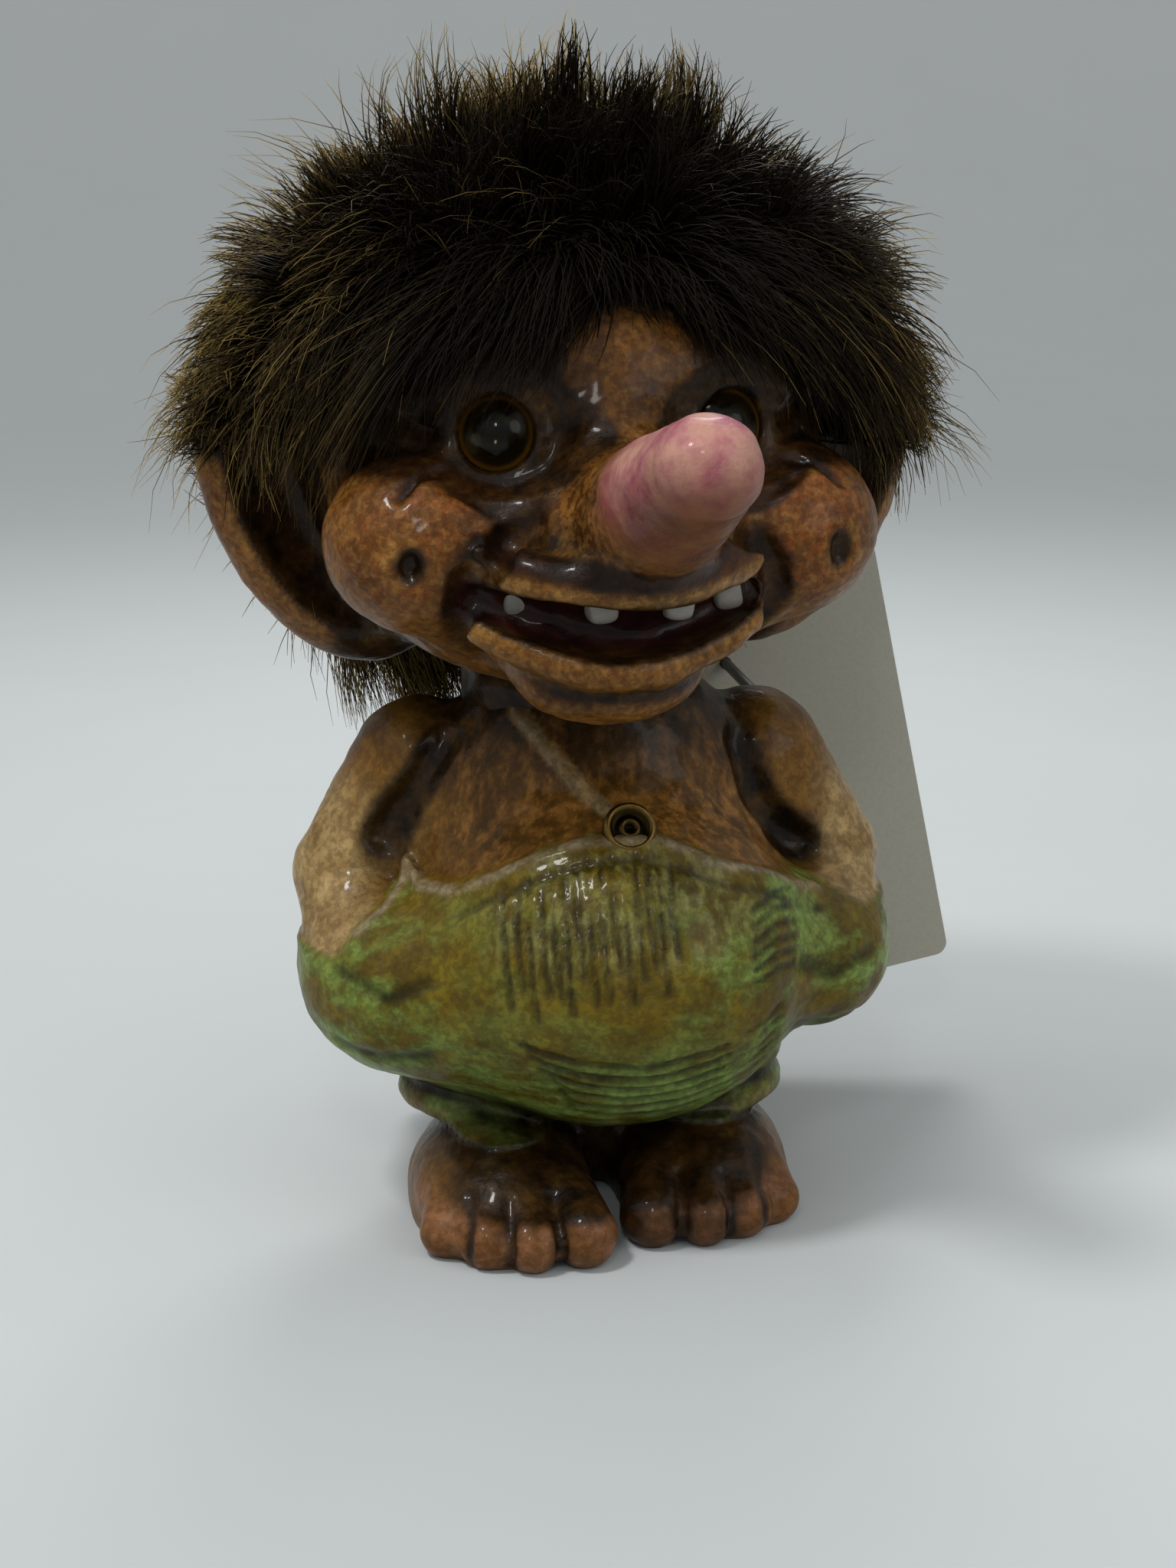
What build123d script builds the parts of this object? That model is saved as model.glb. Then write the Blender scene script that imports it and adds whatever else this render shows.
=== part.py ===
"""A standing folk troll: painted castings for the body and the head, stud-backed doll eyes, set-in
teeth, a fur wig on its backing, a tufted tail and a blank swing tag that hangs on a pin.

Millimetres, +Z up, the figure faces -Y. "Left" and "right" are the figure's own: its left side is +X.
The body is modelled about the floor point midway between the feet and the head about the neck joint.
The finished figure is then moved so that the origin lies under the middle of its overall box.
"""

from build123d import *
import os
from dataclasses import dataclass
from math import cos, radians, sin, sqrt, tan

# Stacked heights of the body, from the floor up
HIP_HEIGHT = 14.0
HIP_TO_WAIST = 12.0
WAIST_TO_CHEST = 13.0
CHEST_TO_SHOULDER = 10.0
SHOULDER_TO_NECK = 6.0

# Half widths and half depths of the torso at those heights
HIP_HALF_WIDTH, HIP_HALF_DEPTH = 17.0, 14.5
WAIST_HALF_WIDTH, WAIST_HALF_DEPTH = 20.5, 17.0
CHEST_HALF_WIDTH, CHEST_HALF_DEPTH = 19.5, 16.0
SHOULDER_HALF_WIDTH, SHOULDER_HALF_DEPTH = 15.5, 12.5
NECK_RADIUS = 9.5
TORSO_BACKSET = 1.0

# The belly under the bib
BELLY_HALF_WIDTH, BELLY_HALF_DEPTH, BELLY_HALF_HEIGHT = 19.5, 18.5, 17.0
BELLY_SIDE_SHIFT, BELLY_FORWARD, BELLY_LIFT = 1.0, 9.0, 28.0

# Arms that end in the pockets
SHOULDER_RADIUS = 7.5
ELBOW_RADIUS = 6.0
WRIST_RADIUS = 5.2
SHOULDER_SPREAD, SHOULDER_DROP = 17.0, 4.5
ELBOW_SPREAD, ELBOW_DROP = 24.5, 15.0
WRIST_SPREAD, WRIST_DROP = 23.0, 23.0
ARM_BACKSET = 2.0
POCKET_HALF_WIDTH, POCKET_HALF_DEPTH, POCKET_HALF_HEIGHT = 8.4, 11.5, 8.8
POCKET_SPREAD, POCKET_FORWARD, POCKET_LIFT = 22.0, 5.0, 24.0

# The strap over the right shoulder, and its button
STRAP_RADIUS = 1.2
STRAP_TOP_SPREAD = 12.5
STRAP_BOW = 0.37
BUTTON_RADIUS = 3.0
BUTTON_THICKNESS = 1.8
BUTTON_RIM_WIDTH = 0.7
BUTTON_DISH_DEPTH = 0.6
BUTTON_EYE_RADIUS = 0.9
BUTTON_SINK = 0.6
BUTTON_DROP = 2.4
BUTTON_PITCH = 35.0

# Trouser legs and bare feet
LEG_SPACING = 20.5
CUFF_RADIUS = 9.2
CUFF_HEIGHT = 8.0
THIGH_RADIUS = 9.8
FOOT_SPACING = 21.0
FOOT_HALF_WIDTH, FOOT_HALF_LENGTH, FOOT_HALF_HEIGHT = 9.4, 15.0, 8.6
FOOT_FORWARD, FOOT_LIFT = 5.5, 2.4
FOOT_STEP = 2.0
BIG_TOE_RADIUS = 3.1
SECOND_TOE_RADIUS = 2.8
THIRD_TOE_RADIUS = 2.6
LITTLE_TOE_RADIUS = 2.4

# The neck joint and how the head sits on it
NECK_PEG_RADIUS = 5.0
NECK_PEG_LENGTH = 7.0
NECK_GLUE_GAP = 0.1
HEAD_SIDE_SHIFT = -3.6
HEAD_TURN = 7.5

# Masses of the head
SKULL_HALF_WIDTH, SKULL_HALF_DEPTH, SKULL_HALF_HEIGHT = 26.0, 21.5, 20.5
SKULL_FORWARD, SKULL_LIFT = 2.0, 25.0
FACE_HALF_WIDTH, FACE_HALF_DEPTH, FACE_HALF_HEIGHT = 22.5, 20.0, 14.6
FACE_FORWARD, FACE_LIFT = 9.0, 14.8
CHEEK_RADIUS = 9.6
CHEEK_SPREAD, CHEEK_FORWARD, CHEEK_LIFT = 16.8, 18.5, 15.2
DIMPLE_HALF_WIDTH, DIMPLE_HALF_DEPTH, DIMPLE_HALF_HEIGHT = 1.5, 2.4, 2.0
DIMPLE_OUTWARD, DIMPLE_DROP = 3.3, 0.2
MUZZLE_HALF_WIDTH, MUZZLE_HALF_DEPTH, MUZZLE_HALF_HEIGHT = 15.5, 12.5, 8.8
MUZZLE_FORWARD, MUZZLE_LIFT = 21.0, 11.6
CHIN_HALF_WIDTH, CHIN_HALF_DEPTH, CHIN_HALF_HEIGHT = 8.8, 6.2, 4.8
CHIN_FORWARD, CHIN_LIFT = 26.0, 4.9
BROW_HALF_WIDTH, BROW_HALF_DEPTH, BROW_HALF_HEIGHT = 18.5, 7.5, 5.5
BROW_FORWARD, BROW_LIFT = 15.0, 31.5

# The grin
MOUTH_HALF_WIDTH = 12.4
MOUTH_GAP = 5.0
MOUTH_CORNER_LIFT = 12.2
MOUTH_MIDDLE_LIFT = 9.4
MOUTH_DEPTH = 3.4
LIP_RADIUS = 1.9
LIP_END_RADIUS = 2.4
UPPER_LIP_OFFSET, LOWER_LIP_OFFSET = 3.2, 3.4
TOOTH_RADIUS = 1.5
TOOTH_LENGTH = 4.0
TOOTH_SPOTS = {
    "right_outer_tooth": -10.0,
    "right_inner_tooth": -3.6,
    "left_inner_tooth": 3.6,
    "left_outer_tooth": 9.0,
}

# The nose
NOSE_LENGTH = 25.0
NOSE_ROOT_RADIUS = 6.2
NOSE_TIP_RADIUS = 4.5
NOSE_PITCH = 21.0
NOSE_FORWARD, NOSE_LIFT = 25.5, 16.6

# Cupped ears
EAR_HALF_WIDTH, EAR_HALF_DEPTH, EAR_HALF_HEIGHT = 9.8, 6.0, 16.5
RIGHT_EAR_SPREAD, LEFT_EAR_SPREAD = 23.6, 26.0
EAR_BACKSET, EAR_LIFT = 1.0, 16.5
EAR_LEAN = 28.0
EAR_WALL = 2.2
EAR_CUP_FORWARD = 4.6

# Doll eyes: a clear dome on a coloured disc, with a black stud through the disc
EYE_RADIUS = 3.4
EYE_LAND = 0.4
EYE_DOME_HEIGHT = 2.0
EYE_DISC_THICKNESS = 0.8
PUPIL_RADIUS = 1.9
EYE_SHANK_RADIUS = 0.9
EYE_SHANK_LENGTH = 5.0
EYE_SPACING = 22.0
EYE_LIFT = 25.9
EYE_OUTWARD, EYE_UPWARD = 16.0, 6.0
EYE_SINK = 1.2
EYE_GLUE_GAP = 0.1
EYELID_RADIUS = 0.9

# Fur wig on its backing
BACKING_THICKNESS = 1.0
BACKING_LIFT, BACKING_SLOPE = 23.0, 36.0
FUR_GAP = 0.3
FUR_HALF_WIDTH, FUR_HALF_DEPTH, FUR_HALF_HEIGHT = 35.8, 30.3, 32.8
FUR_SIDE_SHIFT, FUR_BACKSET, FUR_LIFT = 1.2, 0.5, 25.0
FUR_HEM_LIFT, FUR_HEM_SLOPE = 20.5, 32.0

# Tail with its tuft
TAIL_RADIUS = 1.9
TAIL_SOCKET_DEPTH = 4.0
TAIL_SIDE, TAIL_HEIGHT = -4.0, 21.0
TAIL_REACH, TAIL_SWAY, TAIL_DROP = 7.0, 8.0, 9.0
TUFT_ROOT_RADIUS, TUFT_TIP_RADIUS = 2.9, 1.4
TUFT_LENGTH = 9.0
TUFT_CUFF = 2.0

# Swing tag and its pin
TAG_WIDTH, TAG_HEIGHT = 46.0, 53.0
TAG_LEAF = 0.4
TAG_LEAF_GAP = 0.5
TAG_CORNER_RADIUS = 1.5
TAG_HOLE_INSET = 9.0
TAG_TILT = 12.0
TAG_PLAY = 0.25
PIN_RADIUS = 0.6
PIN_CLEARANCE = 0.08
PIN_HEAD_RADIUS = 2.0
PIN_HEAD_THICKNESS = 0.9
PIN_SIDE, PIN_HEIGHT = 19.9, 48.5
PIN_ROOT_BACKSET = 1.0
TAG_BACKSET = 31.2

# Derived places
WAIST_HEIGHT = HIP_HEIGHT + HIP_TO_WAIST
CHEST_HEIGHT = WAIST_HEIGHT + WAIST_TO_CHEST
SHOULDER_HEIGHT = CHEST_HEIGHT + CHEST_TO_SHOULDER
NECK_HEIGHT = SHOULDER_HEIGHT + SHOULDER_TO_NECK
HEAD_PLACE = Pos(HEAD_SIDE_SHIFT, TORSO_BACKSET, NECK_HEIGHT) * Rot(0, 0, HEAD_TURN)
SIDES = {"right": -1, "left": 1}
REACH = 300.0
POLE_TURNS = {"X": (0, 90, 0), "Y": (90, 0, 0), "Z": (0, 0, 0)}


@dataclass(frozen=True)
class Lump:
    """An egg-shaped mass of the sculpt, with an optional lean about the Y axis.

    The poles of its surface point along the axis on which one end stays exposed, so that whatever is
    left of the surface after a joint always holds a part of its seam.
    """

    center: tuple
    radii: tuple
    pole: str = "Y"
    lean: float = 0.0

    def solid(self, grow=0.0):
        """The mass as a solid, each half length made longer by grow."""
        egg = scale(Rot(*POLE_TURNS[self.pole]) * Sphere(1.0), by=tuple(r + grow for r in self.radii))
        return Pos(*self.center) * Rot(0, self.lean, 0) * egg

    def front(self, x, z, grow=0.0):
        """The Y of the upright mass's front face at that x and z, or REACH where it has none."""
        across = (x - self.center[0]) / (self.radii[0] + grow)
        up = (z - self.center[2]) / (self.radii[2] + grow)
        room = 1.0 - across**2 - up**2
        if room <= 0.0:
            return REACH
        return self.center[1] - (self.radii[1] + grow) * sqrt(room)

    def back(self, x, z, grow=0.0):
        """The Y of the upright mass's back face at that x and z, or far in front where it has none."""
        return 2.0 * self.center[1] - self.front(x, z, grow)


BELLY = Lump(
    (BELLY_SIDE_SHIFT, -BELLY_FORWARD, BELLY_LIFT),
    (BELLY_HALF_WIDTH, BELLY_HALF_DEPTH, BELLY_HALF_HEIGHT),
)
SKULL = Lump((0.0, -SKULL_FORWARD, SKULL_LIFT), (SKULL_HALF_WIDTH, SKULL_HALF_DEPTH, SKULL_HALF_HEIGHT), "Z")
FACE = Lump((0.0, -FACE_FORWARD, FACE_LIFT), (FACE_HALF_WIDTH, FACE_HALF_DEPTH, FACE_HALF_HEIGHT))
MUZZLE = Lump((0.0, -MUZZLE_FORWARD, MUZZLE_LIFT), (MUZZLE_HALF_WIDTH, MUZZLE_HALF_DEPTH, MUZZLE_HALF_HEIGHT))
CHIN = Lump((0.0, -CHIN_FORWARD, CHIN_LIFT), (CHIN_HALF_WIDTH, CHIN_HALF_DEPTH, CHIN_HALF_HEIGHT))
BROW = Lump((0.0, -BROW_FORWARD, BROW_LIFT), (BROW_HALF_WIDTH, BROW_HALF_DEPTH, BROW_HALF_HEIGHT))
CHEEKS = tuple(
    Lump((side * CHEEK_SPREAD, -CHEEK_FORWARD, CHEEK_LIFT), (CHEEK_RADIUS, CHEEK_RADIUS, CHEEK_RADIUS))
    for side in SIDES.values()
)
EARS = tuple(
    Lump(
        (spread, EAR_BACKSET, EAR_LIFT),
        (EAR_HALF_WIDTH, EAR_HALF_DEPTH, EAR_HALF_HEIGHT),
        "X",
        lean,
    )
    for spread, lean in ((-RIGHT_EAR_SPREAD, -EAR_LEAN), (LEFT_EAR_SPREAD, EAR_LEAN))
)
FUR = Lump((FUR_SIDE_SHIFT, FUR_BACKSET, FUR_LIFT), (FUR_HALF_WIDTH, FUR_HALF_DEPTH, FUR_HALF_HEIGHT), "Z")


def fuse(pieces):
    """One shape from overlapping pieces, joined one at a time."""
    whole, *rest = pieces
    for piece in rest:
        whole = whole + piece
    return whole


def facing(origin, outward):
    """A plane at origin whose normal points outward and whose x axis stays level."""
    level = Vector(0, 0, 1).cross(outward)
    return Plane(origin=origin, x_dir=level, z_dir=outward)


def peg(plane, radius, start, end):
    """A round peg along the plane's normal, between two distances from the plane."""
    low = (Align.CENTER, Align.CENTER, Align.MIN)
    return plane * Pos(0, 0, start) * Cylinder(radius, end - start, align=low)


def club(start, end, start_radius, end_radius):
    """A rounded cone: a ball at each end and the cone that touches both."""
    axis = end - start
    length = axis.length
    slant = (start_radius - end_radius) / length
    flat = sqrt(1.0 - slant**2)
    low = (start_radius * flat, start_radius * slant)
    high = (end_radius * flat, length + end_radius * slant)
    outline = (
        ThreePointArc(
            (0, -start_radius),
            (start_radius * cos(radians(20)), -start_radius * sin(radians(20))),
            low,
        )
        + Line(low, high)
        + ThreePointArc(
            high,
            (end_radius * cos(radians(60)), length + end_radius * sin(radians(60))),
            (0, length + end_radius),
        )
        + Line((0, length + end_radius), (0, -start_radius))
    )
    turned = revolve(Plane.XZ * make_face(outline), Axis.Z)
    upright = Vector(1, 0, 0) if abs(axis.normalized().X) < 0.9 else Vector(0, 1, 0)
    return Plane(origin=start, x_dir=upright.cross(axis), z_dir=axis) * turned


def above(lift, slope):
    """The half space over a plane that passes lift above the origin and falls towards the back."""
    slab = Pos(0, 0, REACH / 2) * Box(REACH, REACH, REACH)
    return Pos(0, 0, lift) * Rot(-slope, 0, 0) * slab


def torso():
    """The trunk, lofted from the hips to the neck."""
    rings = (
        (HIP_HEIGHT, HIP_HALF_WIDTH, HIP_HALF_DEPTH),
        (WAIST_HEIGHT, WAIST_HALF_WIDTH, WAIST_HALF_DEPTH),
        (CHEST_HEIGHT, CHEST_HALF_WIDTH, CHEST_HALF_DEPTH),
        (SHOULDER_HEIGHT, SHOULDER_HALF_WIDTH, SHOULDER_HALF_DEPTH),
        (NECK_HEIGHT, NECK_RADIUS, NECK_RADIUS),
    )
    return loft([Pos(0, TORSO_BACKSET, z) * Ellipse(wide, deep) for z, wide, deep in rings])


def sleeve(side):
    """One arm: the upper arm, the forearm and the pocket round the hand."""
    shoulder = Vector(side * SHOULDER_SPREAD, ARM_BACKSET, SHOULDER_HEIGHT - SHOULDER_DROP)
    elbow = Vector(side * ELBOW_SPREAD, ARM_BACKSET, SHOULDER_HEIGHT - ELBOW_DROP)
    wrist = Vector(side * WRIST_SPREAD, -POCKET_FORWARD, SHOULDER_HEIGHT - WRIST_DROP)
    pocket = Lump(
        (side * POCKET_SPREAD, -POCKET_FORWARD, POCKET_LIFT),
        (POCKET_HALF_WIDTH, POCKET_HALF_DEPTH, POCKET_HALF_HEIGHT),
        "X",
    )
    return [
        club(shoulder, elbow, SHOULDER_RADIUS, ELBOW_RADIUS),
        club(elbow, wrist, 0.94 * ELBOW_RADIUS, WRIST_RADIUS),
        pocket.solid(),
    ]


def leg(side):
    """One trouser leg, from its cuff up into the hips."""
    cuff = Pos(side * LEG_SPACING / 2, 0, CUFF_HEIGHT) * Circle(CUFF_RADIUS)
    thigh = Pos(side * (LEG_SPACING / 2 - 1.0), TORSO_BACKSET, WAIST_HEIGHT) * Circle(THIGH_RADIUS)
    return loft([cuff, thigh])


def foot(side):
    """One bare foot with four toes fanned round its front."""
    middle = Vector(side * FOOT_SPACING / 2, side * FOOT_STEP - FOOT_FORWARD, FOOT_LIFT)
    instep = Lump(tuple(middle), (FOOT_HALF_WIDTH, FOOT_HALF_LENGTH, FOOT_HALF_HEIGHT), "Z")
    fan = (
        (-0.60, 1.00, BIG_TOE_RADIUS),
        (-0.08, 0.98, SECOND_TOE_RADIUS),
        (0.40, 0.84, THIRD_TOE_RADIUS),
        (0.74, 0.58, LITTLE_TOE_RADIUS),
    )
    toes = []
    for outward, forward, radius in fan:
        tip = Vector(
            middle.X + side * outward * FOOT_HALF_WIDTH,
            middle.Y - forward * FOOT_HALF_LENGTH,
            0.85 * radius,
        )
        root = Vector(
            middle.X + side * 0.6 * outward * FOOT_HALF_WIDTH,
            middle.Y - 0.6 * forward * FOOT_HALF_LENGTH,
            FOOT_LIFT,
        )
        toes.append(club(root, tip, 1.1 * radius, radius))
    return [instep.solid(), *toes]


def button_seat():
    """The plane the button's back lies on: near the top of the belly, tipped up."""
    height = BELLY_LIFT + BELLY_HALF_HEIGHT - BUTTON_DROP
    depth = BELLY.front(BELLY_SIDE_SHIFT, height)
    tip = radians(BUTTON_PITCH)
    outward = Vector(0, -cos(tip), sin(tip))
    return facing(Vector(BELLY_SIDE_SHIFT, depth, height) - outward * BUTTON_SINK, outward)


def button():
    """The button, with a raised rim, a dished face and an eye."""
    seat = button_seat()
    dish_radius = BUTTON_RADIUS - BUTTON_RIM_WIDTH
    disc = peg(seat, BUTTON_RADIUS, 0.0, BUTTON_THICKNESS)
    dish = peg(seat, dish_radius, BUTTON_THICKNESS - BUTTON_DISH_DEPTH, BUTTON_THICKNESS)
    eye = peg(seat, BUTTON_EYE_RADIUS, BUTTON_THICKNESS / 3, BUTTON_THICKNESS)
    return disc - dish - eye


def strap():
    """The raised strap from behind the button up over the right shoulder."""
    start = button_seat().origin
    top = Vector(-STRAP_TOP_SPREAD, TORSO_BACKSET, SHOULDER_HEIGHT + SHOULDER_TO_NECK / 3)
    middle = Vector(
        start.X + (top.X - start.X) * 0.45,
        start.Y + (top.Y - start.Y) * STRAP_BOW,
        start.Z + (top.Z - start.Z) * 0.62,
    )
    path = ThreePointArc(start, middle, top)
    section = Plane(origin=start, z_dir=path % 0) * Circle(STRAP_RADIUS)
    return sweep(section, path=path)


def tail_path():
    """The middle line of the tail, from inside the back to the root of the tuft."""
    skin = TORSO_BACKSET + HIP_HALF_DEPTH
    inside = Vector(TAIL_SIDE, skin - TAIL_SOCKET_DEPTH, TAIL_HEIGHT)
    bend = Vector(TAIL_SIDE - TAIL_SWAY / 4, skin + TAIL_REACH, TAIL_HEIGHT - TAIL_DROP / 4)
    end = Vector(TAIL_SIDE - TAIL_SWAY, skin + TAIL_REACH, TAIL_HEIGHT - TAIL_DROP)
    return Spline(inside, bend, end, tangents=(Vector(0, 1, 0), Vector(-0.4, 0, -1)))


def tail():
    """The thin tail, a bare cord of casting."""
    path = tail_path()
    return sweep(Plane(origin=path @ 0, z_dir=path % 0) * Circle(TAIL_RADIUS), path=path)


def tuft():
    """The brush of fur on the tail's end, sleeved over the last of the tail."""
    path = tail_path()
    tip = path @ 1
    aim = (path % 1).normalized()
    brush = club(tip - aim * TUFT_CUFF, tip + aim * TUFT_LENGTH, TUFT_ROOT_RADIUS, TUFT_TIP_RADIUS)
    return brush - tail()


def body_casting():
    """The body, cut flat under the feet, with seats for the neck peg, button, tag pin and tail."""
    masses = [torso(), BELLY.solid(), strap()]
    for side in SIDES.values():
        masses += [*sleeve(side), leg(side), *foot(side)]
    neck = Plane(origin=(HEAD_SIDE_SHIFT, TORSO_BACKSET, NECK_HEIGHT))
    socket = peg(neck, NECK_PEG_RADIUS + NECK_GLUE_GAP, -NECK_PEG_LENGTH - NECK_GLUE_GAP, 1.0)
    room = peg(button_seat(), BUTTON_RADIUS, 0.0, 3.0 * BUTTON_THICKNESS)
    pin_bore = peg(pin_line(), PIN_RADIUS, 0.0, TAG_BACKSET)
    return (fuse(masses) & above(0.0, 0.0)) - socket - room - pin_bore - tail()


def face_front(x, z):
    """The point of the face's skin at that x and z, before the mouth is cut."""
    return Vector(x, min(mass.front(x, z) for mass in (SKULL, FACE, MUZZLE, CHIN, BROW, *CHEEKS)), z)


def mouth_lift(x, offset):
    """The height of the grin's curve at x, moved up by offset in the middle and not at the corners."""
    share = (x / MOUTH_HALF_WIDTH) ** 2
    return MOUTH_MIDDLE_LIFT + offset + (MOUTH_CORNER_LIFT - MOUTH_MIDDLE_LIFT - offset) * share


def mouth():
    """The crescent that is cut out for the grin, down to the gum."""
    corner_left = (MOUTH_HALF_WIDTH, MOUTH_CORNER_LIFT)
    corner_right = (-MOUTH_HALF_WIDTH, MOUTH_CORNER_LIFT)
    half = MOUTH_GAP / 2
    crescent = make_face(
        ThreePointArc(corner_right, (0, MOUTH_MIDDLE_LIFT - half), corner_left)
        + ThreePointArc(corner_left, (0, MOUTH_MIDDLE_LIFT + half), corner_right)
    )
    cut = extrude(Plane.XZ * crescent, amount=REACH / 4)
    for mass in (FACE, MUZZLE, *CHEEKS):
        cut = cut - mass.solid(-MOUTH_DEPTH)
    return cut


def lips():
    """The two lips, rolls round the mouth that meet in a fuller ball at each corner."""
    corners = [face_front(side * MOUTH_HALF_WIDTH, MOUTH_CORNER_LIFT) for side in SIDES.values()]
    rolls = []
    for offset in (UPPER_LIP_OFFSET, -LOWER_LIP_OFFSET):
        middle = face_front(0.0, MOUTH_MIDDLE_LIFT + offset)
        path = ThreePointArc(corners[0], middle, corners[1])
        rolls.append(sweep(Plane(origin=path @ 0, z_dir=path % 0) * Circle(LIP_RADIUS), path=path))
    end = (LIP_END_RADIUS, LIP_END_RADIUS, LIP_END_RADIUS)
    return [*rolls, *(Lump(tuple(corner), end).solid() for corner in corners)]


def tooth(x):
    """One peg of a tooth, hanging from the upper lip."""
    root_height = mouth_lift(x, MOUTH_GAP / 2) + 0.4 * TOOTH_LENGTH
    depth = min(mass.front(x, root_height, -MOUTH_DEPTH) for mass in (FACE, MUZZLE, *CHEEKS))
    root = Vector(x, depth - 0.5 * TOOTH_RADIUS, root_height)
    return club(root, root - Vector(0, 0, TOOTH_LENGTH - TOOTH_RADIUS), TOOTH_RADIUS, 0.9 * TOOTH_RADIUS)


def dimple(side):
    """The dent low on one cheek."""
    x = side * (CHEEK_SPREAD + DIMPLE_OUTWARD)
    spot = face_front(x, CHEEK_LIFT - DIMPLE_DROP)
    return Lump(tuple(spot), (DIMPLE_HALF_WIDTH, DIMPLE_HALF_DEPTH, DIMPLE_HALF_HEIGHT)).solid()


def nose():
    """The long nose, slightly thinner towards its round tip."""
    root = Vector(0, -NOSE_FORWARD, NOSE_LIFT)
    rise = radians(NOSE_PITCH)
    tip = root + Vector(0, -cos(rise), sin(rise)) * NOSE_LENGTH
    return club(root, tip, NOSE_ROOT_RADIUS, NOSE_TIP_RADIUS)


def ear(outer):
    """One ear, hollowed from the front."""
    x, y, z = outer.center
    hollow = Lump((x, y - EAR_CUP_FORWARD, z + EAR_WALL / 2), outer.radii, "Y", outer.lean)
    return outer.solid() - hollow.solid(-EAR_WALL)


def eye_seat(side):
    """The plane under one eye's disc, sunk into the face and turned a little outward and up."""
    x = side * EYE_SPACING / 2
    turn, rise = radians(side * EYE_OUTWARD), radians(EYE_UPWARD)
    outward = Vector(sin(turn) * cos(rise), -cos(turn) * cos(rise), sin(rise))
    return facing(face_front(x, EYE_LIFT) - outward * EYE_SINK, outward)


def eyelid(side):
    """The round lid about one eye."""
    seat = eye_seat(side)
    return seat * Pos(0, 0, EYE_SINK) * Torus(EYE_RADIUS + EYELID_RADIUS, EYELID_RADIUS)


def eye_parts(side):
    """The lens, the disc and the stud of one eye, seated on each other."""
    seat = eye_seat(side)
    stud = peg(seat, PUPIL_RADIUS, 0.0, EYE_DISC_THICKNESS) + peg(seat, EYE_SHANK_RADIUS, -EYE_SHANK_LENGTH, 0.1)
    disc = peg(seat, EYE_RADIUS, 0.0, EYE_DISC_THICKNESS) - peg(seat, PUPIL_RADIUS, 0.0, EYE_DISC_THICKNESS)
    land = EYE_DISC_THICKNESS + EYE_LAND
    dome_radius = (EYE_RADIUS**2 + EYE_DOME_HEIGHT**2) / (2.0 * EYE_DOME_HEIGHT)
    ball = seat * Pos(0, 0, land + EYE_DOME_HEIGHT - dome_radius) * Sphere(dome_radius)
    lens = peg(seat, EYE_RADIUS, EYE_DISC_THICKNESS, land + EYE_DOME_HEIGHT) & ball
    lens = lens + peg(seat, EYE_RADIUS, EYE_DISC_THICKNESS, land)
    return {"lens": lens, "disc": disc, "stud": stud}


def eye_room(side):
    """What is cut out of the head for one eye and its shank."""
    seat = eye_seat(side)
    pocket = peg(seat, EYE_RADIUS + EYE_GLUE_GAP, 0.0, 4.0 * EYE_DOME_HEIGHT)
    return pocket + peg(seat, EYE_SHANK_RADIUS, -EYE_SHANK_LENGTH, 1.0)


def head_casting():
    """The head in its own frame, with seats for the eyes and the teeth."""
    masses = [mass.solid() for mass in (SKULL, FACE, *CHEEKS, MUZZLE, CHIN, BROW)]
    neck = peg(Plane.XY, NECK_RADIUS, 0.0, SKULL_LIFT)
    spigot = peg(Plane.XY, NECK_PEG_RADIUS, -NECK_PEG_LENGTH, SKULL_LIFT)
    head = fuse([*masses, neck]) & above(0.0, 0.0)
    head = fuse([head, spigot, *lips()]) - mouth()
    head = fuse([head, nose(), *(ear(mass) for mass in EARS), *(eyelid(s) for s in SIDES.values())])
    for side in SIDES.values():
        head = head - eye_room(side) - dimple(side)
    for spot in TOOTH_SPOTS.values():
        head = head - tooth(spot)
    return head


def wig_backing():
    """The thin cap that carries the pile, glued over the skull behind the hairline."""
    cap = (SKULL.solid(BACKING_THICKNESS) - SKULL.solid()) & above(BACKING_LIFT, BACKING_SLOPE)
    for mass in EARS:
        cap = cap - mass.solid(FUR_GAP)
    return cap - BROW.solid(FUR_GAP)


def fur():
    """The mass of the pile, clear of the skin, the backing and the ears."""
    pile = FUR.solid() & above(FUR_HEM_LIFT, FUR_HEM_SLOPE)
    pile = pile - SKULL.solid(BACKING_THICKNESS + FUR_GAP)
    for mass in (*EARS, BROW):
        pile = pile - mass.solid(2.0 * FUR_GAP)
    return pile


def pin_line():
    """The plane at the pin's inner end, looking out of the back of the left shoulder."""
    return facing(Vector(PIN_SIDE, PIN_ROOT_BACKSET, PIN_HEIGHT), Vector(0, 1, 0))


def tag_thickness():
    """The folded card over both leaves."""
    return 2.0 * TAG_LEAF + TAG_LEAF_GAP


def tag_pin():
    """The headed pin in the back of the left shoulder that the tag hangs on."""
    reach = TAG_BACKSET + tag_thickness() + TAG_PLAY - PIN_ROOT_BACKSET
    shaft = peg(pin_line(), PIN_RADIUS, 0.0, reach + PIN_HEAD_THICKNESS)
    return shaft + peg(pin_line(), PIN_HEAD_RADIUS, reach, reach + PIN_HEAD_THICKNESS)


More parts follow.
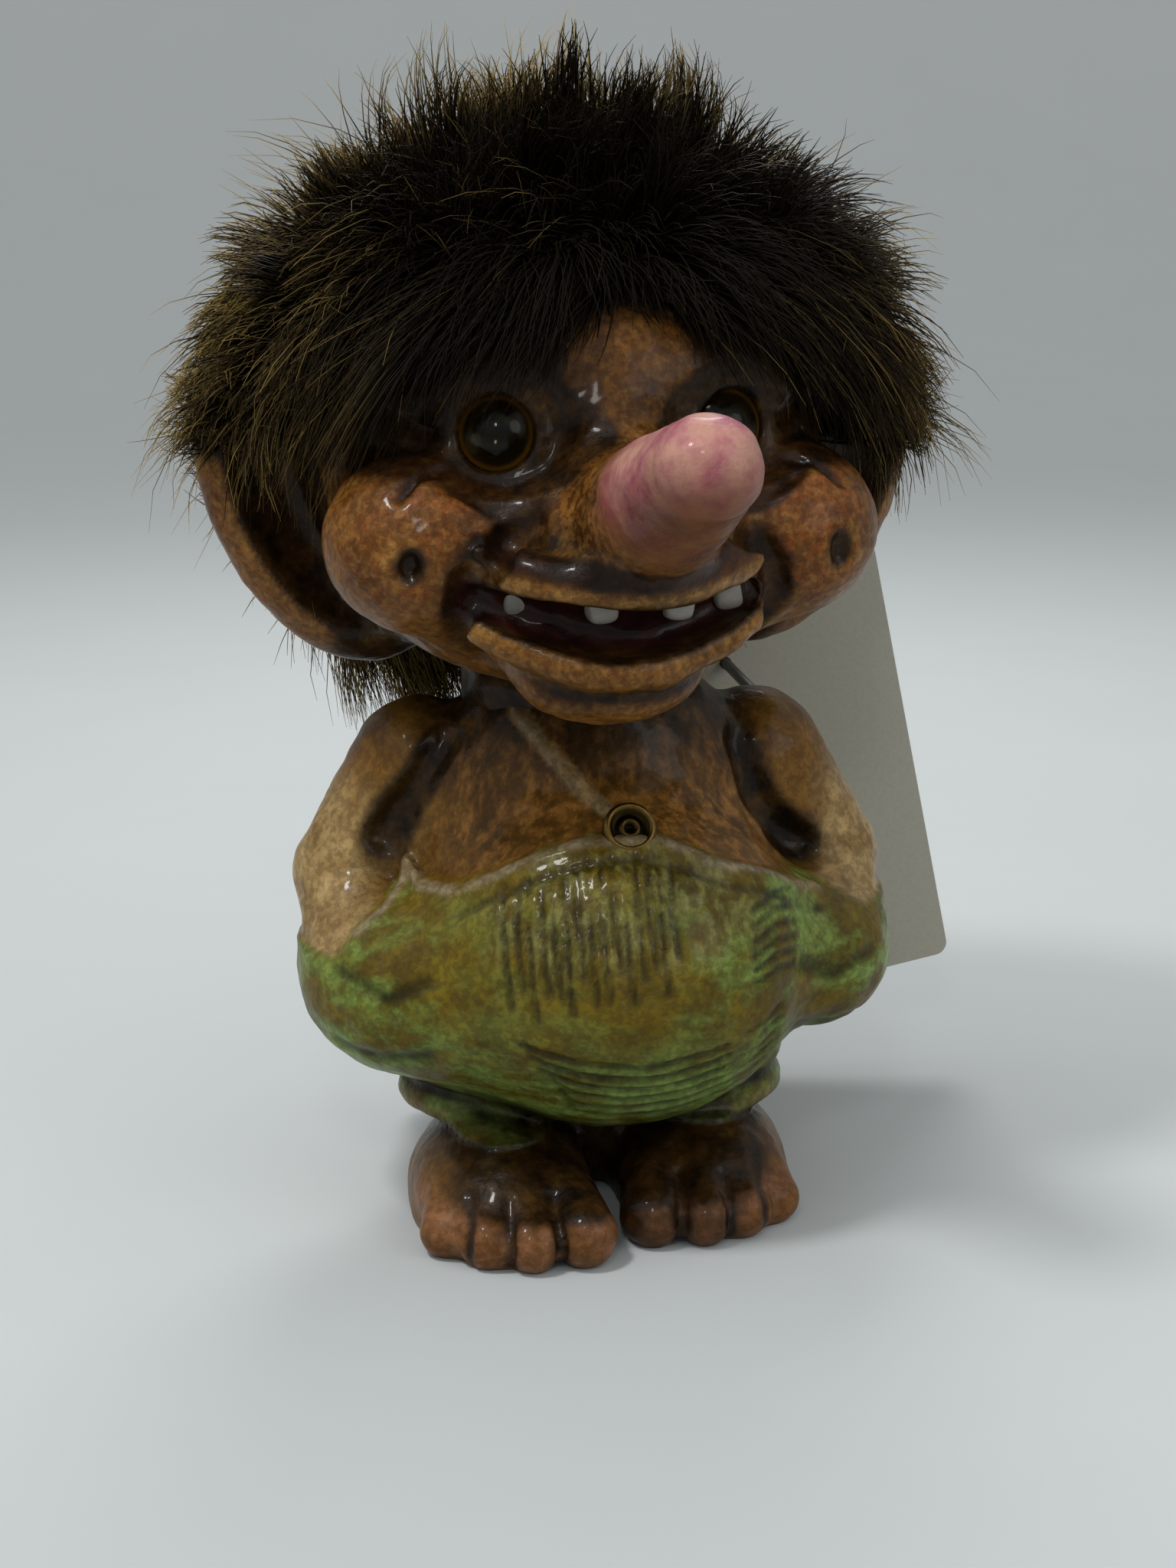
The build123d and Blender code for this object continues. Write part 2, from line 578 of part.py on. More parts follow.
def swing_tag():
    """The blank folded card, hung from a hole beside its middle so that it rests at a tilt."""
    deep, radius = tag_thickness(), tag_thickness() / 2
    top, bottom = TAG_HOLE_INSET - radius, TAG_HOLE_INSET - TAG_HEIGHT
    fold = Pos(0, top)
    outer = Pos(0, (top + bottom) / 2) * Rectangle(deep, top - bottom) + fold * Circle(radius)
    inner = Pos(0, (top + bottom) / 2) * Rectangle(TAG_LEAF_GAP, top - bottom) + fold * Circle(TAG_LEAF_GAP / 2)
    card = extrude(Plane.YZ * (outer - inner), amount=TAG_WIDTH / 2, both=True)
    corners = card.edges().filter_by(Axis.Y).group_by(Axis.Z)[0]
    card = fillet(corners, TAG_CORNER_RADIUS)
    offset = (TAG_HEIGHT / 2 - TAG_HOLE_INSET) * tan(radians(TAG_TILT))
    hole = Rot(90, 0, 0) * Cylinder(PIN_RADIUS + PIN_CLEARANCE, 4.0 * deep)
    hung = Pos(-offset, 0, 0) * card - hole
    return Pos(PIN_SIDE, TAG_BACKSET + radius, PIN_HEIGHT) * Rot(0, -TAG_TILT, 0) * hung


def nodes():
    """Every piece of the figure in its place, by name."""
    pieces = {
        "body_casting": body_casting(),
        "head_casting": HEAD_PLACE * head_casting(),
        "wig_backing": HEAD_PLACE * wig_backing(),
        "fur_pile": HEAD_PLACE * fur(),
        "strap_button": button(),
        "tail": tail(),
        "tail_tuft": tuft(),
        "swing_tag": swing_tag(),
        "tag_pin": tag_pin(),
    }
    for name, side in SIDES.items():
        for piece, solid in eye_parts(side).items():
            pieces[f"{name}_eye_{piece}"] = HEAD_PLACE * solid
    for name, spot in TOOTH_SPOTS.items():
        pieces[name] = HEAD_PLACE * tooth(spot)
    return pieces


def centred(pieces):
    """The pieces moved so that the origin is the middle of the bottom of their common box."""
    boxes = [solid.bounding_box() for solid in pieces.values()]
    low = [min(tuple(box.min)[axis] for box in boxes) for axis in range(3)]
    high = [max(tuple(box.max)[axis] for box in boxes) for axis in range(2)]
    move = Pos(-(low[0] + high[0]) / 2, -(low[1] + high[1]) / 2, -low[2])
    return {name: move * solid for name, solid in pieces.items()}


if __name__ == "__main__":
    os.makedirs("parts", exist_ok=True)
    for name, solid in centred(nodes()).items():
        export_step(solid, f"parts/{name}.step")
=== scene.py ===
"""A hand-painted rubber troll with a fur wig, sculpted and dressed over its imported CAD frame.

Sizes are millimetres in the figure's own frame: the floor point midway between the feet, -Y to the
front, +X to the figure's left. The head is modelled about the neck joint. A finished mesh is moved
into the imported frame, in metres, when its piece is made.
"""

from __future__ import annotations

import logging
import math
from dataclasses import dataclass, field
from enum import Enum
from itertools import pairwise

import bmesh
import bpy
import numpy as np
from mathutils import Matrix, Vector

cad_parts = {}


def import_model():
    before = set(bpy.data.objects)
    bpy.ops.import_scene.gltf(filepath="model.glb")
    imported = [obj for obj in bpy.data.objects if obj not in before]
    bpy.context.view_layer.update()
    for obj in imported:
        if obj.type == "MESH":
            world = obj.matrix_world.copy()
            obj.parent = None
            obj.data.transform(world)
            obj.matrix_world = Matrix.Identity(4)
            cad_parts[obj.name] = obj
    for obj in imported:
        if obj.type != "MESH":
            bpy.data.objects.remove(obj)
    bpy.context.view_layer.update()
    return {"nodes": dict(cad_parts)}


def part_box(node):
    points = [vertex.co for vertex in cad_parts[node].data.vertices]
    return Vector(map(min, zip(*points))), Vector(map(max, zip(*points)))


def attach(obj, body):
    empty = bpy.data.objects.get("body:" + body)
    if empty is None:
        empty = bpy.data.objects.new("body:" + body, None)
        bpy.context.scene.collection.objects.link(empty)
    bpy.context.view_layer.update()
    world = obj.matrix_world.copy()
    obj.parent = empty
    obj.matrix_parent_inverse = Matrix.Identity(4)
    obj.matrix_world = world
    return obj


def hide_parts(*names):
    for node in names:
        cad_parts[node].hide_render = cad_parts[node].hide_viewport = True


LOG = logging.getLogger("troll")
MM = 0.001
Array = np.ndarray
Point = tuple[float, float, float]
Spot = tuple[float, float]
# Wavelength and depth of the unevenness that fingers leave in clay
FINGER_MARKS = ((7.3, 0.12), (3.1, 0.03))
# How far the head is turned to its own left, in degrees
HEAD_TURN = 7.5


# Small helpers


def linear(code: str) -> tuple[float, float, float, float]:
    """Turns an sRGB hex colour into a linear one.

    Args:
        code: six hex digits, with or without a leading hash.

    Returns:
        Linear red, green, blue and an alpha of 1.
    """
    digits = code.lstrip("#")
    parts = (int(digits[i : i + 2], 16) / 255.0 for i in (0, 2, 4))
    red, green, blue = (c / 12.92 if c <= 0.04045 else ((c + 0.055) / 1.055) ** 2.4 for c in parts)
    return red, green, blue, 1.0


def per_metre(size: float) -> float:
    """The texture scale at which one feature of the pattern is `size` millimetres across."""
    return 1.0 / (size * MM)


def step_up(low: float, high: float, values: Array) -> Array:
    """Rises smoothly from 0 at `low` to 1 at `high`."""
    share = np.clip((values - low) / (high - low), 0.0, 1.0)
    return share * share * (3.0 - 2.0 * share)


def step_down(low: float, high: float, values: Array) -> Array:
    """Falls smoothly from 1 at `low` to 0 at `high`."""
    return 1.0 - step_up(low, high, values)


def unit(vectors: Array) -> Array:
    """The vectors at length one."""
    return vectors / np.maximum(np.linalg.norm(vectors, axis=-1, keepdims=True), 1e-9)


def add_node(
    tree: bpy.types.NodeTree, kind: str, inputs: dict[int | str, object] | None = None, **settings: object
) -> bpy.types.Node:
    """Adds one node with its settings, values and links.

    Args:
        tree: the tree that gets the node.
        kind: the node's type name.
        inputs: what goes into each input socket: another node's output socket, or a plain value.
        settings: properties of the node itself.

    Returns:
        The new node.
    """
    node = tree.nodes.new(kind)
    for name, value in settings.items():
        setattr(node, name, value)
    for key, value in (inputs or {}).items():
        if isinstance(value, bpy.types.NodeSocket):
            tree.links.new(value, node.inputs[key])
        else:
            node.inputs[key].default_value = value
    return node


def along(points: Array, start: Point, end: Point) -> tuple[Array, Array]:
    """Measures points against one straight run.

    Args:
        points: the places to measure, one row each.
        start: where the run begins.
        end: where it ends.

    Returns:
        The share of the run at which each point is nearest, and its distance from there.
    """
    axis = np.subtract(end, start)
    offset = points - np.asarray(start)
    share = np.clip(offset @ axis / max(axis @ axis, 1e-9), 0.0, 1.0)
    return share, np.linalg.norm(offset - share[:, None] * axis, axis=1)


def from_path(points: Array, path: list[Point] | tuple[Point, ...]) -> Array:
    """How far each point is from a path of straight runs."""
    return np.min([along(points, start, end)[1] for start, end in pairwise(path)], axis=0)


def soft_union(one: Array, other: Array, blend: float) -> Array:
    """Joins two distance fields with a fillet about `blend` wide."""
    near = np.maximum(blend - np.abs(one - other), 0.0)
    return np.minimum(one, other) - near * near / (4.0 * blend)


def hand_relief(points: Array) -> Array:
    """The gentle unevenness that fingers leave in clay.

    Args:
        points: the places to measure, one row each.

    Returns:
        How far the skin lies in at each of them, in millimetres.
    """
    total = np.zeros(len(points))
    for wave, depth in FINGER_MARKS:
        x, y, z = points.T * (math.tau / wave)
        swirl = np.sin(x + 1.3 * np.sin(0.7 * y)) * np.sin(1.1 * y + 1.7 * np.sin(0.8 * z))
        total += depth * swirl * np.sin(0.9 * z + 1.1 * np.sin(0.6 * x) + 0.5)
    return total


def vector_rows(items: bpy.types.bpy_prop_collection, key: str) -> Array:
    """Reads one vector from each of a mesh's items.

    Args:
        items: the mesh's vertices or their normals.
        key: which of an item's vectors to read.

    Returns:
        A row for each item.
    """
    flat = np.empty(len(items) * 3, np.float32)
    items.foreach_get(key, flat)
    return flat.reshape(-1, 3).astype(float)


def positions(mesh: bpy.types.Mesh) -> Array:
    """The mesh's vertices as rows."""
    return vector_rows(mesh.vertices, "co")


def normals(mesh: bpy.types.Mesh) -> Array:
    """The mesh's vertex normals as rows."""
    return vector_rows(mesh.vertex_normals, "vector")


def paint(mesh: bpy.types.Mesh, name: str, values: Array) -> None:
    """Stores one painted mask on the mesh's vertices.

    Args:
        mesh: the mesh to paint.
        name: the mask's name, which the finish reads.
        values: one number for each vertex.
    """
    layer = mesh.attributes.new(name, "FLOAT", "POINT")
    layer.data.foreach_set("value", np.clip(values, 0.0, 1.0).astype(np.float32))


def mesh_of(shape: bmesh.types.BMesh, name: str) -> bpy.types.Mesh:
    """Turns a bmesh into a mesh and frees it.

    Args:
        shape: the bmesh, which can't be used afterwards.
        name: the mesh's name.

    Returns:
        The new mesh.
    """
    mesh = bpy.data.meshes.new(name)
    shape.to_mesh(mesh)
    shape.free()
    return mesh


def turned(profile: list[Spot], steps: int) -> bmesh.types.BMesh:
    """Spins a profile about the Z axis into a closed turned shape.

    Args:
        profile: radius and height of each point, from one end of the axis to the other.
        steps: how many steps make the full turn.

    Returns:
        The turned shape, its normals outward.
    """
    shape = bmesh.new()
    row = [shape.verts.new((radius, 0.0, height)) for radius, height in profile]
    edges = [shape.edges.new(pair) for pair in pairwise(row)]
    bmesh.ops.spin(
        shape,
        geom=[*row, *edges],
        axis=(0, 0, 1),
        cent=(0, 0, 0),
        angle=math.tau,
        steps=steps,
        use_merge=True,
    )
    bmesh.ops.remove_doubles(shape, verts=shape.verts, dist=1e-4)
    bmesh.ops.recalc_face_normals(shape, faces=shape.faces)
    return shape


def smooth(shape: bmesh.types.BMesh, verts: list[bmesh.types.BMVert], rounds: int) -> None:
    """Evens out some of a shape's vertices.

    Args:
        shape: the shape.
        verts: the vertices to even out.
        rounds: how often each moves halfway to the middle of its neighbours.
    """
    for _ in range(rounds):
        bmesh.ops.smooth_vert(
            shape, verts=verts, factor=0.5, use_axis_x=True, use_axis_y=True, use_axis_z=True
        )


def facing(origin: Point, outward: Point) -> Matrix:
    """The placing that puts Z along `outward` and the origin at `origin`."""
    return Matrix.Translation(origin) @ Vector(outward).to_track_quat("Z", "Y").to_matrix().to_4x4()


# The clay that the castings are sculpted in


class Touch(Enum):
    """How a form meets the clay that is already there."""

    ADD = "add"
    CUT = "cut"


@dataclass(frozen=True)
class Egg:
    """An egg of clay, with an optional lean about the front-to-back axis."""

    center: Point
    radii: Point
    lean: float = 0.0

    def distance(self, points: Array) -> Array:
        """Measures points against the egg.

        Args:
            points: the places to measure, one row each.

        Returns:
            How far each point is outside the egg, near enough for sculpting.
        """
        back = np.array(Matrix.Rotation(math.radians(-self.lean), 3, "Y"))
        local = (points - self.center) @ back.T / self.radii
        near = np.linalg.norm(local, axis=1)
        steep = np.linalg.norm(local / self.radii, axis=1)
        return near * (near - 1.0) / np.maximum(steep, 1e-9)

    def box(self) -> tuple[Array, Array]:
        """Measures the egg.

        Returns:
            Its lowest and highest corner, with room for the lean.
        """
        wide, deep, tall = self.radii
        if self.lean:
            wide = tall = max(wide, tall)
        reach = np.array((wide, deep, tall))
        return self.center - reach, self.center + reach

    def on_side(self, side: int) -> Egg:
        """The egg on that side of the figure, given for the left one."""
        x, y, z = self.center
        return Egg((side * x, y, z), self.radii, side * self.lean)

    def travel(self) -> float:
        """How far in front of its place the egg starts when it is a cutter."""
        return 0.7 * self.radii[1]

    def block_in(self, clay: bmesh.types.BMesh) -> None:
        """Adds the egg to the rough mass.

        Args:
            clay: the rough mass.
        """
        lean = Matrix.Rotation(math.radians(self.lean), 4, "Y")
        place = Matrix.Translation(self.center) @ lean @ Matrix.Diagonal((*self.radii, 1.0))
        bmesh.ops.create_icosphere(clay, subdivisions=4, radius=1.0, matrix=place)


@dataclass(frozen=True)
class Roll:
    """A rolled length of clay through points, with its own thickness at each."""

    points: tuple[Point, ...]
    radii: tuple[float, ...]

    def distance(self, points: Array) -> Array:
        """Measures points against the roll.

        Args:
            points: the places to measure, one row each.

        Returns:
            How far each point is outside the roll.
        """
        best = np.full(len(points), 1e3)
        for (start, end), (thick, thin) in zip(pairwise(self.points), pairwise(self.radii)):
            share, gap = along(points, start, end)
            best = np.minimum(best, gap - thick - share * (thin - thick))
        return best

    def box(self) -> tuple[Array, Array]:
        """Its lowest and highest corner."""
        thickest = max(self.radii)
        return np.min(self.points, axis=0) - thickest, np.max(self.points, axis=0) + thickest

    def travel(self) -> float:
        """How far in front of its place the roll starts when it is a cutter."""
        return 2.2 * max(self.radii)

    def block_in(self, clay: bmesh.types.BMesh) -> None:
        """Adds the roll to the rough mass, as balls and the cones between them.

        Args:
            clay: the rough mass.
        """
        for point, radius in zip(self.points, self.radii):
            place = Matrix.Translation(point)
            bmesh.ops.create_icosphere(clay, subdivisions=3, radius=radius, matrix=place)
        for (start, end), (thick, thin) in zip(pairwise(self.points), pairwise(self.radii)):
            axis = Vector(end) - Vector(start)
            middle = (Vector(start) + Vector(end)) / 2.0
            bmesh.ops.create_cone(
                clay,
                cap_ends=True,
                segments=24,
                radius1=thick,
                radius2=thin,
                depth=axis.length,
                matrix=facing(tuple(middle), tuple(axis)),
            )


@dataclass(frozen=True)
class Column:
    """An upright trunk through oval rings, each given as height, half width and half depth."""

    center: Spot
    rings: tuple[Point, ...]
    rounding: float = 2.0

    def distance(self, points: Array) -> Array:
        """Measures points against the trunk.

        Args:
            points: the places to measure, one row each.

        Returns:
            How far each point is outside the trunk.
        """
        heights, wide, deep = np.array(self.rings).T
        level = np.clip(points[:, 2], heights[0], heights[-1])
        across = np.polyval(np.polyfit(heights, wide, len(heights) - 1), level)
        through = np.polyval(np.polyfit(heights, deep, len(heights) - 1), level)
        share = np.hypot((points[:, 0] - self.center[0]) / across, (points[:, 1] - self.center[1]) / through)
        side = (share - 1.0) * np.minimum(across, through)
        ends = np.maximum(heights[0] - points[:, 2], points[:, 2] - heights[-1])
        return -soft_union(-side, -ends, self.rounding)

    def box(self) -> tuple[Array, Array]:
        """Measures the trunk.

        Returns:
            Its lowest and highest corner, with room for a bulge between the rings.
        """
        heights, wide, deep = np.array(self.rings).T
        (x, y), across, through = self.center, wide.max() + self.rounding, deep.max() + self.rounding
        low = np.array((x - across, y - through, heights[0]))
        return low, np.array((x + across, y + through, heights[-1]))

    def block_in(self, clay: bmesh.types.BMesh) -> None:
        """Adds the trunk to the rough mass, one oval cone for each pair of rings.

        Args:
            clay: the rough mass.
        """
        for (low, wide, deep), (high, next_wide, _) in pairwise(self.rings):
            place = Matrix.Translation((*self.center, (low + high) / 2.0))
            bmesh.ops.create_cone(
                clay,
                cap_ends=True,
                segments=64,
                radius1=wide,
                radius2=next_wide,
                depth=high - low,
                matrix=place @ Matrix.Diagonal((1.0, deep / wide, 1.0, 1.0)),
            )


Form = Egg | Roll | Column


@dataclass(frozen=True)
class Stroke:
    """A tool stroke over the skin: a groove where its depth is positive, a ridge where negative."""

    points: tuple[Point, ...]
    width: float
    depth: float

    def press(self, points: Array) -> Array:
        """Measures what the stroke does to the skin.

        Args:
            points: the places to measure, one row each.

        Returns:
            How far the stroke pushes the skin in at each point.
        """
        reach = 2.6 * self.width
        low = np.min(self.points, axis=0) - reach
        high = np.max(self.points, axis=0) + reach
        near = np.all((points > low) & (points < high), axis=1)
        pressed = np.zeros(len(points))
        if near.any():
            gap = from_path(points[near], self.points)
            pressed[near] = self.depth * np.exp(-((gap / self.width) ** 2))
        return pressed


@dataclass
class Clay:
    """A sculpt: forms joined and cut with soft edges, then worked over with strokes.

    The skin under a spot is looked for in `looks` places. A vertex nears it by `stride` at most, down
    a slope that is felt over a `nudge` and counts as `gentlest` at least. The cutters sink in over so
    many `sinkings`, on a mesh that is `coarse` times as coarse as the final one.
    """

    steps: list[tuple[Form, float, Touch]] = field(default_factory=list)
    strokes: list[Stroke | Trousers] = field(default_factory=list)
    looks: int = 300
    nudge: float = 0.02
    stride: float = 1.2
    gentlest: float = 0.15
    sinkings: int = 11
    coarse: float = 1.6

    def add(self, form: Form, blend: float = 2.0) -> None:
        """Presses a form onto the sculpt, with a fillet `blend` wide."""
        self.steps.append((form, blend, Touch.ADD))

    def cut(self, form: Egg | Roll, blend: float = 0.6) -> None:
        """Scoops a form out of the sculpt."""
        self.steps.append((form, blend, Touch.CUT))

    def stroke(self, points: list[Point], width: float, depth: float) -> None:
        """Draws the tool along the points."""
        self.strokes.append(Stroke(tuple(points), width, depth))

    def distance(self, points: Array, held: float = 0.0) -> Array:
        """Measures points against the skin.

        Args:
            points: the places to measure, one row each.
            held: the share of their travel by which the cutting forms are still held back.

        Returns:
            How far each point is outside the skin: near enough close to it, with the right sign far off.
        """
        skin = np.full(len(points), 1e3)
        for form, blend, touch in self.steps:
            back = held * form.travel() if touch is Touch.CUT else 0.0
            spots = points + np.array((0.0, back, 0.0))
            low, high = form.box()
            reach = blend + 3.0
            near = np.flatnonzero(np.all((spots > low - reach) & (spots < high + reach), axis=1))
            gap = form.distance(spots[near])
            if touch is Touch.ADD:
                skin[near] = soft_union(skin[near], gap, blend)
            else:
                skin[near] = -soft_union(-skin[near], gap, blend)
        for stroke in self.strokes:
            skin = skin + stroke.press(points)
        return skin + hand_relief(points)

    def on_skin(self, spots: list[Spot], start: float = -62.0, end: float = 12.0) -> list[Point]:
        """Finds the skin under spots that are given as seen from the front or the back.

        Args:
            spots: the x and z of each spot.
            start: the y from which the search looks towards `end`.
            end: the y at which it gives up.

        Returns:
            The point of the skin at each spot.
        """
        depths = np.linspace(start, end, self.looks)
        found = []
        for x, z in spots:
            line = np.column_stack((np.full(self.looks, x), depths, np.full(self.looks, z)))
            inside = np.flatnonzero(self.distance(line) < 0.0)
            found.append((x, float(depths[inside[0]]) if len(inside) else end, z))
        return found

    def settle(self, mesh: bpy.types.Mesh, rounds: int, held: float = 0.0) -> None:
        """Moves the mesh's vertices onto the sculpt's skin.

        Args:
            mesh: a mesh that already lies near the skin.
            rounds: how many times every vertex steps towards it.
            held: the share of their travel by which the cutting forms are still held back.
        """
        points = positions(mesh)
        for _ in range(rounds):
            gap = self.distance(points, held)
            ahead = [self.distance(points + self.nudge * axis, held) for axis in np.eye(3)]
            slope = np.column_stack([(reached - gap) / self.nudge for reached in ahead])
            steep = np.maximum((slope**2).sum(axis=1), self.gentlest)
            points = points - (np.clip(gap, -self.stride, self.stride) / steep)[:, None] * slope
        mesh.vertices.foreach_set("co", points.astype(np.float32).ravel())
        mesh.update()

    def mesh(self, name: str, voxel: float) -> bpy.types.Mesh:
        """Makes the sculpt's mesh, letting the cutting forms sink in from the front bit by bit.

        Args:
            name: the mesh's name.
            voxel: the size of its faces.

        Returns:
            One closed skin of even quads.
        """
        rough = bmesh.new()
        for form, _, touch in self.steps:
            if touch is Touch.ADD:
                form.block_in(rough)
        mesh = mesh_of(rough, name)
        for held in np.linspace(1.0, 0.0, self.sinkings):
            mesh = remeshed(mesh, self.coarse * voxel)
            self.settle(mesh, 3, held)
            self.relax(mesh, self.coarse * voxel)
        mesh = remeshed(mesh, voxel)
        for _ in range(2):
            self.settle(mesh, 3)
            self.relax(mesh, voxel)
        self.settle(mesh, 1)
        return mesh

    @staticmethod
    def relax(mesh: bpy.types.Mesh, size: float, drawn_out: float = 2.2, rounds: int = 6) -> None:
        """Smooths the few places where the skin was drawn out into spikes.

        Args:
            mesh: the skin.
            size: the usual length of its edges.
            drawn_out: how many times that length makes a spike.
            rounds: how often each place is smoothed.
        """
        shape = bmesh.new()
        shape.from_mesh(mesh)
        long = [edge for edge in shape.edges if edge.calc_length() > drawn_out * size]
        spikes = {vert for edge in long for vert in edge.verts}
        spikes |= {edge.other_vert(vert) for vert in tuple(spikes) for edge in vert.link_edges}
        if spikes:
            smooth(shape, list(spikes), rounds)
        shape.to_mesh(mesh)
        shape.free()

    def carved(self, points: Array) -> Array:
        """How near each point is to the bottom of a tool stroke, from 0 to 1."""
        grooves = [stroke for stroke in self.drawn() if stroke.depth > 0.0]
        return np.max([stroke.press(points) / stroke.depth for stroke in grooves], axis=0)

    def drawn(self) -> list[Stroke]:
        """The strokes that were drawn along a line."""
        return [stroke for stroke in self.strokes if isinstance(stroke, Stroke)]

    def hollowed(self) -> list[Form]:
        """The forms that were scooped out."""
        return [form for form, _, touch in self.steps if touch is Touch.CUT]

    def recess(self, mesh: bpy.types.Mesh, reaches: tuple[float, ...]) -> Array:
        """Measures how deep in a fold each vertex lies.

        Args:
            mesh: the sculpt's own mesh.
            reaches: how far off the skin the measure looks, one try each.

        Returns:
            0 in the open to 1 in a crevice.
        """
        points, out = positions(mesh), normals(mesh)
        shares = [1.0 - self.distance(points + reach * out) / reach for reach in reaches]
        return np.clip(np.mean(shares, axis=0), 0.0, 1.0)

    def ridge(self, mesh: bpy.types.Mesh, reach: float) -> Array:
        """How sharply each vertex stands proud, from 0 on the flat to 1 on an edge."""
        points, out = positions(mesh), normals(mesh)
        return np.clip(1.0 + self.distance(points - reach * out) / reach, 0.0, 1.0)


def remeshed(mesh: bpy.types.Mesh, voxel: float) -> bpy.types.Mesh:
    """Fuses overlapping shells into one skin of even quads.

    Args:
        mesh: the overlapping shells.
        voxel: the size of the new faces.

    Returns:
        The fused mesh; the old one is removed.
    """
    holder = bpy.data.objects.new(mesh.name, mesh)
    bpy.context.scene.collection.objects.link(holder)
    modifier = holder.modifiers.new("fuse", "REMESH")
    modifier.mode, modifier.voxel_size = "VOXEL", voxel
    graph = bpy.context.evaluated_depsgraph_get()
    fused = bpy.data.meshes.new_from_object(holder.evaluated_get(graph))
    bpy.data.objects.remove(holder)
    bpy.data.meshes.remove(mesh)
    return fused


# Finishes


def blank_material(name: str) -> tuple[bpy.types.Material, bpy.types.NodeTree, bpy.types.Node]:
    """Starts a material.

    Args:
        name: the material's name.

    Returns:
        The material, its nodes and its shader.
    """
    made = bpy.data.materials.new(name)
    made.use_nodes = True
    return made, made.node_tree, made.node_tree.nodes["Principled BSDF"]


def dress(mesh: bpy.types.Mesh, material: bpy.types.Material) -> None:
    """Gives the mesh its one finish."""
    mesh.materials.clear()
    mesh.materials.append(material)


@dataclass(frozen=True)
class Coat:
    """One coat of hand paint: where it lies, its two tones and the size of its patches.

    `cover` is how thick it lies, `ragged` how far its patches break it up, `crisp` how hard their
    edges are, and `stretch` how they are drawn out.
    """

    mask: str
    light: str
    dark: str
    patch: float
    cover: float = 1.0
    ragged: float = 0.5
    crisp: float = 1.0
    stretch: Point = (1.0, 1.0, 1.0)


